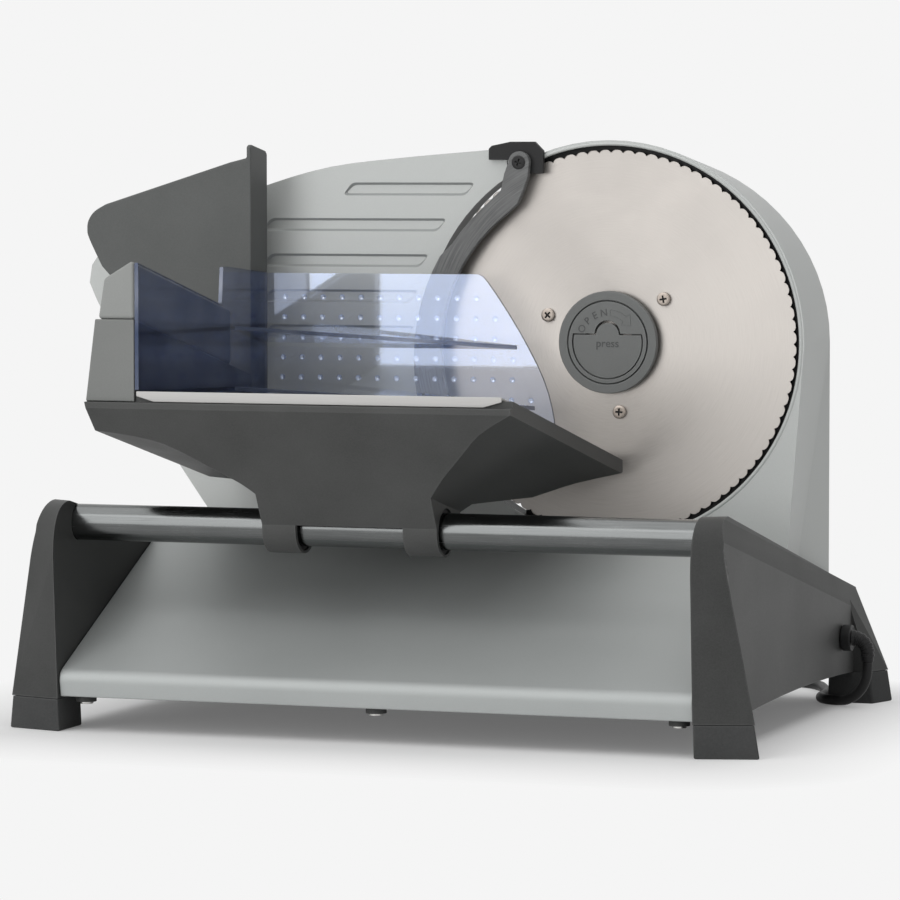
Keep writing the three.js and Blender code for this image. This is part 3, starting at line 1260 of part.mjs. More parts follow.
const pusherLeft = TRAY_LEFT - RUN;
const pusherRight = pusherLeft + PUSHER_T;
const pusherFront = PUSHER_BACK - PUSHER_T;
const pusherFoot = (y) => trayTop(y) + RUN;
const pusherWallSide = [
  [TRAY_FRONT, pusherFoot(TRAY_FRONT)],
  [PUSHER_BACK, pusherFoot(PUSHER_BACK)],
  [PUSHER_BACK, PUSHER_TOP],
  [PUSHER_NOTCH + 8, PUSHER_TOP + 4],
  [PUSHER_NOTCH + 2, PUSHER_TOP + 4],
  [PUSHER_NOTCH, PUSHER_WALL_TOP - FALL * (PUSHER_NOTCH - TRAY_FRONT)],
  [TRAY_FRONT, PUSHER_WALL_TOP],
];
const plateFoot = pusherFoot(pusherFront);
const plateEdgeShares = [
  [0, 0],
  [0.18, 0.01],
  [0.41, 0.15],
  [0.69, 0.48],
  [0.955, 0.875],
  [1, 1],
];
const plateEdge = new THREE.SplineCurve(plateEdgeShares.map(([up, run]) => {
  return new THREE.Vector2(PUSHER_RIGHT - PUSHER_EDGE_IN * run, THREE.MathUtils.lerp(plateFoot, PUSHER_TOP, up));
}));
const pusherPlateOutline = [
  [pusherLeft, plateFoot],
  ...plateEdge.getPoints(15).map((p) => [p.x, p.y]),
  [pusherLeft, PUSHER_TOP],
];
function gusset(z, tip) {
  const outline = [
    [pusherLeft + 1, pusherFront - GUSSET_DEEP],
    [tip, pusherFront + 1],
    [pusherLeft + 1, pusherFront + 1],
  ];
  return reshape(alongZ(outline, z, z + PUSHER_T), (p) => p.setZ(p.z - FALL * (p.y - pusherFront)));
}
const pusherBody = join(
  alongX(pusherWallSide, pusherLeft, pusherRight),
  alongY(pusherPlateOutline, pusherFront, PUSHER_BACK),
  gusset(GUSSET_UPPER_Z, PUSHER_RIGHT - GUSSET_UPPER_IN),
  gusset(GUSSET_LOWER_Z, PUSHER_RIGHT - GUSSET_LOWER_IN),
);
piece(pusher, 'food_pusher', pusherBody, CLEAR_BLUE);

const handleLeft = BODY_LEFT + WALL_LEAN + 1.5;
const handleRight = pusherLeft - GAP;
const handleFoot = WALL_TOP + GAP;
const handleOutline = [
  [handleLeft, handleFoot],
  [handleRight, handleFoot],
  [handleRight, handleFoot + HANDLE_H + HANDLE_RISE],
  [handleRight - 2, handleFoot + HANDLE_H + HANDLE_RISE],
  [handleLeft + 3, handleFoot + HANDLE_H],
];
const handle = slope(alongY(handleOutline, TRAY_FRONT, TRAY_FRONT + HANDLE_LONG));
piece(pusher, 'pusher_handle', handle, HANDLE_GREY);

// Power cord: strain relief, free stretch, put-away coil and plug
const glandX = PANEL_X + GAP;
const bootX = glandX + GLAND_FLANGE;
const bootDrop = GLAND_Z - GLAND_BEND;
const bootRing = (x, z, turn, r) => arc(0, 0, r, 0, 360, CORD_SIDES).slice(1).map(([a, b]) => {
  return new THREE.Vector3(x + b * Math.sin(turn), GLAND_Y + a, z + b * Math.cos(turn));
});
const bootRings = [bootRing(bootX - 1, GLAND_Z, 0, CORD_R + GLAND_WALL)];
for (let i = 0; i <= GLAND_STEPS; i += 1) {
  const turn = (Math.PI / 2) * (i / GLAND_STEPS);
  const x = bootX + GLAND_BEND * Math.sin(turn);
  const z = bootDrop + GLAND_BEND * Math.cos(turn);
  const wall = THREE.MathUtils.lerp(GLAND_WALL, GLAND_TIP, i / (GLAND_STEPS + 2));
  bootRings.push(bootRing(x, z, turn, CORD_R + wall));
}
bootRings.push(bootRing(bootX + GLAND_BEND, bootDrop - GLAND_DROP, Math.PI / 2, CORD_R + GLAND_TIP));
const glandFlange = rodX(GLAND_Y, GLAND_Z, GLAND_R, glandX, bootX);
piece(cordSet, 'strain_relief', join(glandFlange, skin(bootRings)), BLACK);

const cordExit = bootX + GLAND_BEND;
const cordTop = bootDrop - GLAND_DROP - GAP;
const coilStartX = COIL_X + 2 * CORD_R;
const cordLow = CORD_R + 0.2;
const coilEdgeY = COIL_Y - COIL_R;
const cordBend = cordTop - CORD_LEAD - cordLow;
const cordArc = arc(cordExit - cordBend, cordTop - CORD_LEAD, cordBend, 0, -90, 4);
const cordInside = INNER_X - CORD_R - FOOT_FLARE / 2;
const cordBehind = REAR_FOOT_Y + CORD_AWAY;
const cordCornerY = rearLegFront;
const cordCorner = arc(cordInside + CORD_TURN, cordCornerY, CORD_TURN, CORD_CORNER, 180, 4);
const cordRoute = [
  [cordExit, GLAND_Y, cordTop],
  ...cordArc.map(([x, z], i) => [x, GLAND_Y + CORD_SWEEP * (i / (cordArc.length - 1)) ** 2, z]),
  ...cordCorner.map(([x, y]) => [x, y, cordLow]),
  [cordInside - CORD_TURN * 0.06, REAR_FOOT_Y, cordLow],
  [cordInside - CORD_TURN * 0.4, REAR_FOOT_Y + CORD_AWAY * 0.35, cordLow],
  [cordInside - CORD_TURN * 0.85, REAR_FOOT_Y + CORD_AWAY * 0.7, cordLow],
  [cordInside - CORD_TURN * 1.6, REAR_FOOT_Y + CORD_AWAY * 0.94, cordLow],
  [cordInside - CORD_TURN * 2.5, cordBehind, cordLow],
  [cordInside - CORD_TURN * 3.6, REAR_FOOT_Y + CORD_AWAY * 0.94, cordLow],
  [cordInside - CORD_TURN * 4.6, REAR_FOOT_Y + CORD_AWAY * 0.75, cordLow],
  [cordInside - CORD_TURN * 5.6, REAR_FOOT_Y + CORD_AWAY * 0.53, cordLow],
  [coilStartX + CORD_TURN * 2.2, coilEdgeY + CORD_R / 2, cordLow],
  [coilStartX + CORD_TURN * 1.1, coilEdgeY, cordLow],
  [coilStartX + GAP, coilEdgeY, cordLow],
].map(([x, y, z]) => new THREE.Vector3(x, y, z));
const cordCurve = new THREE.CatmullRomCurve3(cordRoute, false, 'centripetal');
const cordLength = cordCurve.getLength();
const cordSection = shapeOf(arc(0, 0, CORD_R, 0, 360, CORD_SIDES).slice(1));
const cordSteps = Math.round(cordLength / (3 * CORD_R));
const cordTube = new THREE.ExtrudeGeometry(cordSection, { steps: cordSteps, extrudePath: cordCurve });
piece(cordSet, 'power_cord', solidOf(cordTube), BLACK);

// The coil spirals in on the lower layer, climbs where the spiral turns, and spirals out on the upper one.
function coilPath() {
  const points = [new THREE.Vector3(coilStartX, coilEdgeY, cordLow)];
  const half = COIL_LOOPS / 2;
  const count = COIL_LOOPS * COIL_STEPS;
  for (let i = 0; i <= count; i += 1) {
    const turn = i / COIL_STEPS;
    const r = COIL_R - COIL_STEP * (half - Math.abs(turn - half));
    const climb = THREE.MathUtils.smoothstep(turn, half - 0.25, half + 0.25);
    const a = -Math.PI / 2 - 2 * Math.PI * turn;
    const z = cordLow + COIL_RISE * climb;
    points.push(new THREE.Vector3(COIL_X + r * Math.cos(a), COIL_Y + r * Math.sin(a), z));
  }
  points.push(new THREE.Vector3(COIL_X - COIL_TAIL / 2, coilEdgeY, cordLow + COIL_RISE));
  points.push(new THREE.Vector3(COIL_X - COIL_TAIL, coilEdgeY, cordLow + COIL_RISE));
  return points;
}
const coilPoints = coilPath();
const coilRings = coilPoints.map((p, i) => {
  const before = coilPoints[Math.max(i - 1, 0)];
  const after = coilPoints[Math.min(i + 1, coilPoints.length - 1)];
  const run = after.clone().sub(before).normalize();
  const out = new THREE.Vector3(run.y, -run.x, 0).normalize();
  const up = new THREE.Vector3().crossVectors(run, out);
  return Array.from({ length: COIL_SIDES }, (_, s) => {
    const a = (2 * Math.PI * s) / COIL_SIDES;
    return p.clone().addScaledVector(out, CORD_R * Math.cos(a)).addScaledVector(up, CORD_R * Math.sin(a));
  });
});
piece(cordSet, 'cord_coil', skin(coilRings), BLACK);

// Least distance between points of the coil that are more than half a turn apart along it.
let coilLeast = Infinity;
for (let i = 0; i < coilPoints.length; i += 1) {
  for (let j = i + COIL_STEPS / 2; j < coilPoints.length; j += 1) {
    coilLeast = Math.min(coilLeast, coilPoints[i].distanceTo(coilPoints[j]));
  }
}
const coilLength = coilPoints.slice(1).reduce((sum, p, i) => sum + p.distanceTo(coilPoints[i]), 0);
console.log(`coil: least gap to itself ${(coilLeast - 2 * CORD_R).toFixed(2)} mm`);
console.log(`cord: free ${cordLength.toFixed(0)} mm, coil ${coilLength.toFixed(0)} mm`);

const plugRight = COIL_X - COIL_TAIL - GAP;
const plugLeft = plugRight - PLUG_LONG;
const plugZ = cordLow + COIL_RISE;
const plugRing = (x, half, high) => [
  new THREE.Vector3(x, coilEdgeY - half, plugZ - high),
  new THREE.Vector3(x, coilEdgeY + half, plugZ - high),
  new THREE.Vector3(x, coilEdgeY + half, plugZ + high),
  new THREE.Vector3(x, coilEdgeY - half, plugZ + high),
];
const plugBody = skin([
  plugRing(plugRight, CORD_R + 1, CORD_R + 1),
  plugRing(plugRight - PLUG_LONG / 2, PLUG_W / 2, plugZ - 1),
  plugRing(plugLeft, PLUG_W / 2 + 1, plugZ),
]);
const pins = [-PIN_PITCH / 2, PIN_PITCH / 2].map((dy) => {
  const y = coilEdgeY + dy;
  const edges = [y - PIN_T / 2, y + PIN_T / 2, plugZ - PIN_W / 2, plugZ + PIN_W / 2];
  return box(plugLeft - PIN_LONG, plugLeft + 2, ...edges);
});
piece(cordSet, 'power_plug', join(plugBody, ...pins), BLACK);

// Put the origin under the middle of the machine's box
machine.updateMatrixWorld(true);
const bounds = new THREE.Box3().setFromObject(machine, true);
const middle = bounds.getCenter(new THREE.Vector3());
slicer.position.set(-middle.x, -middle.y, -bounds.min.z);
const size = bounds.getSize(new THREE.Vector3());
console.log(`machine: ${size.toArray().map((v) => v.toFixed(2)).join(' x ')} mm`);
console.log(`moved by ${slicer.position.toArray().map((v) => v.toFixed(3)).join(', ')} mm`);

export default slicer;
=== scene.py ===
"""Looks of the food slicer: finishes, detailed pieces, light and camera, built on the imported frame."""

import json
import logging
import math
from contextlib import contextmanager
from dataclasses import dataclass, field
from enum import Enum
from typing import Callable, Iterator, Sequence

import bmesh
import bpy
from mathutils import Matrix, Vector


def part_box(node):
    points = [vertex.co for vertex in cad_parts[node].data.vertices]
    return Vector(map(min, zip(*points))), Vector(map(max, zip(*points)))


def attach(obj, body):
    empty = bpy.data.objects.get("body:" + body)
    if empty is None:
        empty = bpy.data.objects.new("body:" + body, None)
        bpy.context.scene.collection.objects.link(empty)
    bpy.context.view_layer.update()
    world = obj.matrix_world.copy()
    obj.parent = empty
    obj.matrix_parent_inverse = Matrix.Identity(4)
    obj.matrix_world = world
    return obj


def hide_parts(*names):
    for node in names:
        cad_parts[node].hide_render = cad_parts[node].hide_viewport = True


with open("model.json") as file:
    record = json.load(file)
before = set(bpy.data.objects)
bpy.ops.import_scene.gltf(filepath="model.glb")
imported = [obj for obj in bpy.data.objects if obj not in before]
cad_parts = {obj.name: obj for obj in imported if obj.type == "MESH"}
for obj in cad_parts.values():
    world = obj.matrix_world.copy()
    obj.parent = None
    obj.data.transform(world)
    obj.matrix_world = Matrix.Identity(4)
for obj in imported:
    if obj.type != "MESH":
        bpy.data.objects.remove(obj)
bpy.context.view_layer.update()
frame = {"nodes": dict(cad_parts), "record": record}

LOG = logging.getLogger("food_slicer")
MM = 0.001
SLOTS: dict[str, str] = {part["node"]: part["material_slot"] for part in frame["record"]["subparts"]}
BODIES: dict[str, str] = {
    node: body for body, nodes in frame["record"]["behaviour"]["bodies"].items() for node in nodes
}

Colour = tuple[float, float, float]
Socket = bpy.types.NodeSocket
Piece = bpy.types.Object
EdgeTest = Callable[[bmesh.types.BMEdge], bool]
PolygonTest = Callable[[bpy.types.MeshPolygon], bool]
Span = tuple[float, float]
Spot = tuple[float, float, float]

# Turns that lay a primitive's upright axis along X or along Y
LAID_X: Spot = (0.0, math.pi / 2, 0.0)
LAID_Y: Spot = (math.pi / 2, 0.0, 0.0)
CENTRE: Spot = (0.0, 0.0, 0.0)

# How much of a unit normal lies along an axis that a face counts as facing
FACING = 0.9
# How close counts as the same place, and how close points are merged, in metres
NEAR = 0.1 * MM
MERGE = 0.004 * MM
# The greatest angle between triangles that count as one plane
FLAT = math.radians(0.6)


def machine_origin() -> Vector:
    """The point midway between the end caps, at the blade's front face, on the table, in metres."""
    left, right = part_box("left_end_cap"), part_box("right_end_cap")
    return Vector(((left[0].x + right[1].x) / 2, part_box("blade")[0].y, 0.0))


ORIGIN = machine_origin()


def place(x: float, y: float, z: float) -> Vector:
    """A point given in the machine's own millimetres, in the shared frame in metres."""
    return ORIGIN + Vector((x, y, z)) * MM


def middle(node: str) -> Vector:
    """The middle of a node's box."""
    low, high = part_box(node)
    return (low + high) / 2


def half_width(node: str) -> float:
    """Half of a node's box along X: the radius of a round node that faces the front."""
    low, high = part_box(node)
    return (high.x - low.x) / 2


def round_blade(reach: float, degrees: float, y: float) -> Vector:
    """A point round the blade's axis.

    Args:
        reach: Its distance from the axis in metres.
        degrees: Its turn, counted from the machine's right.
        y: Its depth in the shared frame.

    Returns:
        The point.
    """
    axis, turn = middle("blade"), math.radians(degrees)
    return Vector((axis.x + reach * math.cos(turn), y, axis.z + reach * math.sin(turn)))


def srgb(red: int, green: int, blue: int) -> Colour:
    """A colour written as it shows on a screen, 0 to 255, as the linear colour that shaders take.

    Args:
        red: Red, from 0 to 255.
        green: Green, from 0 to 255.
        blue: Blue, from 0 to 255.

    Returns:
        The linear colour, from 0 to 1.
    """

    def linear(value: int) -> float:
        """One channel made linear."""
        share = value / 255
        return share / 12.92 if share <= 0.04045 else ((share + 0.055) / 1.055) ** 2.4

    return linear(red), linear(green), linear(blue)


# Shader building


class Shader:
    """A new material, with short ways to add and join its nodes."""

    def __init__(self, name: str) -> None:
        """Starts the material with its one surface shader."""
        self.material = bpy.data.materials.new(name)
        self.material.use_nodes = True
        self.tree = self.material.node_tree
        self.surface = self.tree.nodes["Principled BSDF"]

    def add(self, kind: str, **settings: object) -> bpy.types.Node:
        """Adds a node of a kind and sets its options.

        Args:
            kind: The node's kind.
            settings: Its options.

        Returns:
            The node.
        """
        node = self.tree.nodes.new(kind)
        for key, value in settings.items():
            setattr(node, key, value)
        return node

    def put(self, socket: Socket, value: object) -> None:
        """Links a socket to another socket, or sets its number or colour.

        Args:
            socket: The socket that takes the value.
            value: Another socket, a number or a colour.
        """
        if isinstance(value, bpy.types.NodeSocket):
            self.tree.links.new(value, socket)
        else:
            socket.default_value = value

    def coordinates(
        self, centre: Sequence[float] = (0, 0, 0), stretch: Sequence[float] = (1, 1, 1)
    ) -> Socket:
        """Object coordinates about a centre, stretched along each axis.

        Args:
            centre: The point that becomes the pattern's origin, in metres.
            stretch: Factors along X, Y and Z.

        Returns:
            The vector's socket.
        """
        source = self.add("ShaderNodeTexCoord")
        mapping = self.add("ShaderNodeMapping")
        self.put(mapping.inputs["Vector"], source.outputs["Object"])
        mapping.inputs["Location"].default_value = [-c * s for c, s in zip(centre, stretch)]
        mapping.inputs["Scale"].default_value = stretch
        return mapping.outputs["Vector"]

    def noise(self, vector: Socket, scale: float, detail: float = 2.0, rough: float = 0.5) -> Socket:
        """Noise of a scale on a vector, as a value about one half.

        Args:
            vector: Where it is read.
            scale: Its scale.
            detail: Its layers of detail.
            rough: The weight of each finer layer.

        Returns:
            The value's socket.
        """
        node = self.add("ShaderNodeTexNoise")
        self.put(node.inputs["Vector"], vector)
        node.inputs["Scale"].default_value = scale
        node.inputs["Detail"].default_value = detail
        node.inputs["Roughness"].default_value = rough
        return node.outputs["Fac"]

    def cells(self, vector: Socket, scale: float) -> Socket:
        """Distance to the middle of the nearest cell.

        Args:
            vector: Where it is read.
            scale: Cells per metre.

        Returns:
            The distance's socket.
        """
        node = self.add("ShaderNodeTexVoronoi")
        self.put(node.inputs["Vector"], vector)
        node.inputs["Scale"].default_value = scale
        return node.outputs["Distance"]

    def spread(self, value: Socket, low: float, high: float, start: float = 0.3, end: float = 0.7) -> Socket:
        """Maps a value from start..end to low..high, clamped.

        Args:
            value: The value.
            low: What start becomes.
            high: What end becomes.
            start: The lower end of the value's run.
            end: The upper end of the value's run.

        Returns:
            The new value's socket.
        """
        node = self.add("ShaderNodeMapRange")
        self.put(node.inputs["Value"], value)
        for name, number in (("From Min", start), ("From Max", end), ("To Min", low), ("To Max", high)):
            node.inputs[name].default_value = number
        return node.outputs["Result"]

    def sums(self, operation: str, first: object, second: object = 0.0) -> Socket:
        """A sum of two values.

        Args:
            operation: The Math node's operation.
            first: The first value.
            second: The second value.

        Returns:
            The result's socket.
        """
        node = self.add("ShaderNodeMath", operation=operation)
        self.put(node.inputs[0], first)
        self.put(node.inputs[1], second)
        return node.outputs["Value"]

    def blend(self, share: Socket, first: Colour, second: Colour) -> Socket:
        """A colour between two, by a share.

        Args:
            share: Nought for the first colour, one for the second.
            first: The first colour.
            second: The second colour.

        Returns:
            The colour's socket.
        """
        node = self.add("ShaderNodeMix", data_type="RGBA")
        self.put(node.inputs[0], share)
        node.inputs[6].default_value = (*first, 1)
        node.inputs[7].default_value = (*second, 1)
        return node.outputs[2]

    def bump(self, height: Socket, depth: float, strength: float = 1.0) -> None:
        """Raises the surface by a height, with a depth in metres for the height's full run.

        Args:
            height: The height's socket.
            depth: The depth in metres.
            strength: How much of it shows.
        """
        node = self.add("ShaderNodeBump")
        node.inputs["Strength"].default_value = strength
        node.inputs["Distance"].default_value = depth
        self.put(node.inputs["Height"], height)
        self.put(self.surface.inputs["Normal"], node.outputs["Normal"])

    def edges(self, radius: float) -> Socket:
        """How near the surface is to a convex or concave edge, from 0 to 1.

        Args:
            radius: How far from an edge it reaches, in metres.

        Returns:
            The value's socket.
        """
        rounded = self.add("ShaderNodeBevel", samples=4)
        rounded.inputs["Radius"].default_value = radius
        plain = self.add("ShaderNodeNewGeometry")
        dot = self.add("ShaderNodeVectorMath", operation="DOT_PRODUCT")
        self.put(dot.inputs[0], rounded.outputs["Normal"])
        self.put(dot.inputs[1], plain.outputs["Normal"])
        return self.spread(dot.outputs["Value"], 1.0, 0.0, 0.86, 0.995)

    def coat(self, colour: Socket, gloss: Socket, roughness: float) -> None:
        """Gives the surface a colour, and a roughness that a gloss pattern shifts."""
        self.put(self.surface.inputs["Base Color"], colour)
        self.put(self.surface.inputs["Roughness"], self.sums("ADD", gloss, roughness))


def lighter(colour: Colour, share: float) -> Colour:
    """The colour moved towards white by a share."""
    red, green, blue = (c + (1 - c) * share for c in colour)
    return red, green, blue


def darker(colour: Colour, share: float) -> Colour:
    """The colour moved towards black by a share."""
    red, green, blue = (c * (1 - share) for c in colour)
    return red, green, blue


class Brush(Enum):
    """Which way a metal's brush marks run."""

    ALONG_X = "along the machine"
    ROUND_BLADE = "round the blade's axis"


@dataclass(frozen=True)
class Moulded:
    """Moulded plastic or rubber: fine spark-eroded grain, slow gloss changes and rubbed edges.

    Grain, depth and edge are in millimetres, and patches and wear are scales of noise.
    """

    name: str
    colour: Colour
    roughness: float = 0.5
    grain: float = 0.7
    depth: float = 0.05
    rub: float = 0.05
    specular: float = 0.3
    edge: float = 1.2
    patches: float = 28.0
    wear: float = 90.0
    shade: float = 0.10

    def make(self) -> bpy.types.Material:
        """Builds the material.

        Returns:
            The material.
        """
        shader = Shader(self.name)
        here = shader.coordinates()
        grain = shader.noise(here, 1 / (self.grain * MM), 3, 0.6)
        cloud = shader.noise(here, self.patches, 3, 0.55)
        worn = shader.spread(shader.noise(here, self.wear, 4), 0.2, 1.0)
        rubbed = shader.sums("MULTIPLY", shader.edges(self.edge * MM), worn)
        tone = shader.sums("ADD", shader.spread(cloud, 0.15, 0.45), shader.spread(grain, 0.0, 0.25))
        share = shader.sums("ADD", tone, rubbed)
        colour = shader.blend(share, darker(self.colour, self.shade), lighter(self.colour, self.rub))
        gloss = shader.sums("ADD", shader.spread(grain, -0.05, 0.05), shader.spread(cloud, -0.04, 0.04))
        shader.coat(colour, gloss, self.roughness)
        shader.surface.inputs["Specular IOR Level"].default_value = self.specular
        shader.bump(grain, self.depth * MM, 0.6)
        return shader.material


@dataclass(frozen=True)
class Painted:
    """Satin metallic paint: flakes, a slight orange peel and slow changes of tone.

    Flake and depth are in millimetres, and peel and patches are scales of noise.
    """

    name: str
    colour: Colour
    metallic: float = 0.35
    roughness: float = 0.4
    flake: float = 0.35
    peel: float = 420.0
    depth: float = 0.02
    patches: float = 16.0
    shift: float = 0.07

    def make(self) -> bpy.types.Material:
        """Builds the material.

        Returns:
            The material.
        """
        shader = Shader(self.name)
        here = shader.coordinates()
        flakes = shader.cells(here, 1 / (self.flake * MM))
        cloud = shader.noise(here, self.patches, 3, 0.5)
        tone = shader.sums("ADD", shader.spread(flakes, 0.0, 0.5, 0.05, 0.6), shader.spread(cloud, 0.1, 0.5))
        colour = shader.blend(tone, darker(self.colour, self.shift), lighter(self.colour, self.shift))
        sparkle = shader.spread(flakes, -0.06, 0.06, 0.05, 0.6)
        gloss = shader.sums("ADD", sparkle, shader.spread(cloud, -0.04, 0.04))
        shader.coat(colour, gloss, self.roughness)
        shader.surface.inputs["Metallic"].default_value = self.metallic
        shader.bump(shader.noise(here, self.peel, 2, 0.5), self.depth * MM, 0.4)
        return shader.material


@dataclass(frozen=True)
class Brushed:
    """Bare or dark metal with brush marks in one direction, and smudges.

    Mark and depth are in millimetres, smudge is a scale of noise, and drawn and ring_run say how far
    the marks are drawn out along the machine or round the blade.
    """

    name: str
    colour: Colour
    brush: Brush
    roughness: float = 0.3
    metallic: float = 1.0
    contrast: float = 0.12
    mark: float = 0.25
    anisotropic: float = 0.4
    turned: bool = False
    depth: float = 0.006
    smudge: float = 30.0
    drawn: float = 0.02
    ring_run: float = 0.0016

    def marks(self, shader: Shader) -> Socket:
        """Noise drawn out along the brush's direction.

        Args:
            shader: The material's shader.

        Returns:
            The noise's socket.
        """
        fine = 1 / (self.mark * MM)
        if self.brush is Brush.ALONG_X:
            return shader.noise(shader.coordinates(stretch=(self.drawn, 1, 1)), fine, 3, 0.65)
        split = shader.add("ShaderNodeSeparateXYZ")
        shader.put(split.inputs["Vector"], shader.coordinates(centre=middle("blade")))
        across, up = split.outputs["X"], split.outputs["Z"]
        squares = shader.sums("ADD", shader.sums("MULTIPLY", across, across), shader.sums("MULTIPLY", up, up))
        turn = shader.sums("ARCTAN2", up, across)
        ring = shader.add("ShaderNodeCombineXYZ")
        shader.put(ring.inputs["X"], shader.sums("SQRT", squares))
        shader.put(ring.inputs["Y"], shader.sums("MULTIPLY", turn, self.ring_run))
        return shader.noise(ring.outputs["Vector"], fine, 4, 0.7)

    def make(self) -> bpy.types.Material:
        """Builds the material.

        Returns:
            The material.
        """
        shader = Shader(self.name)
        marks = self.marks(shader)
        smudge = shader.noise(shader.coordinates(), self.smudge, 4, 0.6)
        tone = shader.sums("ADD", shader.spread(marks, 0.0, 0.7), shader.spread(smudge, 0.0, 0.3))
        bright = lighter(self.colour, self.contrast / 2)
        colour = shader.blend(tone, darker(self.colour, self.contrast), bright)
        gloss = shader.sums("ADD", shader.spread(marks, -0.06, 0.08), shader.spread(smudge, -0.03, 0.05))
        shader.coat(colour, gloss, self.roughness)
        shader.surface.inputs["Metallic"].default_value = self.metallic
        shader.surface.inputs["Anisotropic"].default_value = self.anisotropic
        if self.turned:
            ring = shader.add("ShaderNodeTangent", direction_type="RADIAL", axis="Y")
            shader.put(shader.surface.inputs["Tangent"], ring.outputs["Tangent"])
        shader.bump(marks, self.depth * MM, 0.5)
        return shader.material


@dataclass(frozen=True)
class ClearPlastic:
    """Clear tinted sheet plastic: a thin bright film with flow marks and fine handling scratches.

    Depth is in millimetres, and flow and scratch are scales of noise.
    """

    name: str
    colour: Colour
    alpha: float = 0.2
    roughness: float = 0.03
    worn: float = 0.05
    depth: float = 0.03
    flow: float = 45.0
    scratch: float = 2500.0
    shift: float = 0.12

    def make(self) -> bpy.types.Material:
        """Builds the material.

        Returns:
            The material.
        """
        shader = Shader(self.name)
        flow = shader.noise(shader.coordinates(stretch=(0.3, 1, 1)), self.flow, 3, 0.5)
        scratch = shader.noise(shader.coordinates(stretch=(0.05, 1, 1)), self.scratch, 2, 0.6)
        tint = shader.blend(shader.spread(flow, 0.0, 1.0), self.colour, lighter(self.colour, self.shift))
        surface = shader.surface
        shader.put(surface.inputs["Base Color"], tint)
        surface.inputs["Metallic"].default_value = 1.0
        surface.inputs["Alpha"].default_value = self.alpha
        gloss = shader.spread(scratch, self.roughness, self.roughness + self.worn, 0.45, 0.75)
        shader.put(surface.inputs["Roughness"], gloss)
        shader.bump(flow, self.depth * MM, 0.1)
        return shader.material


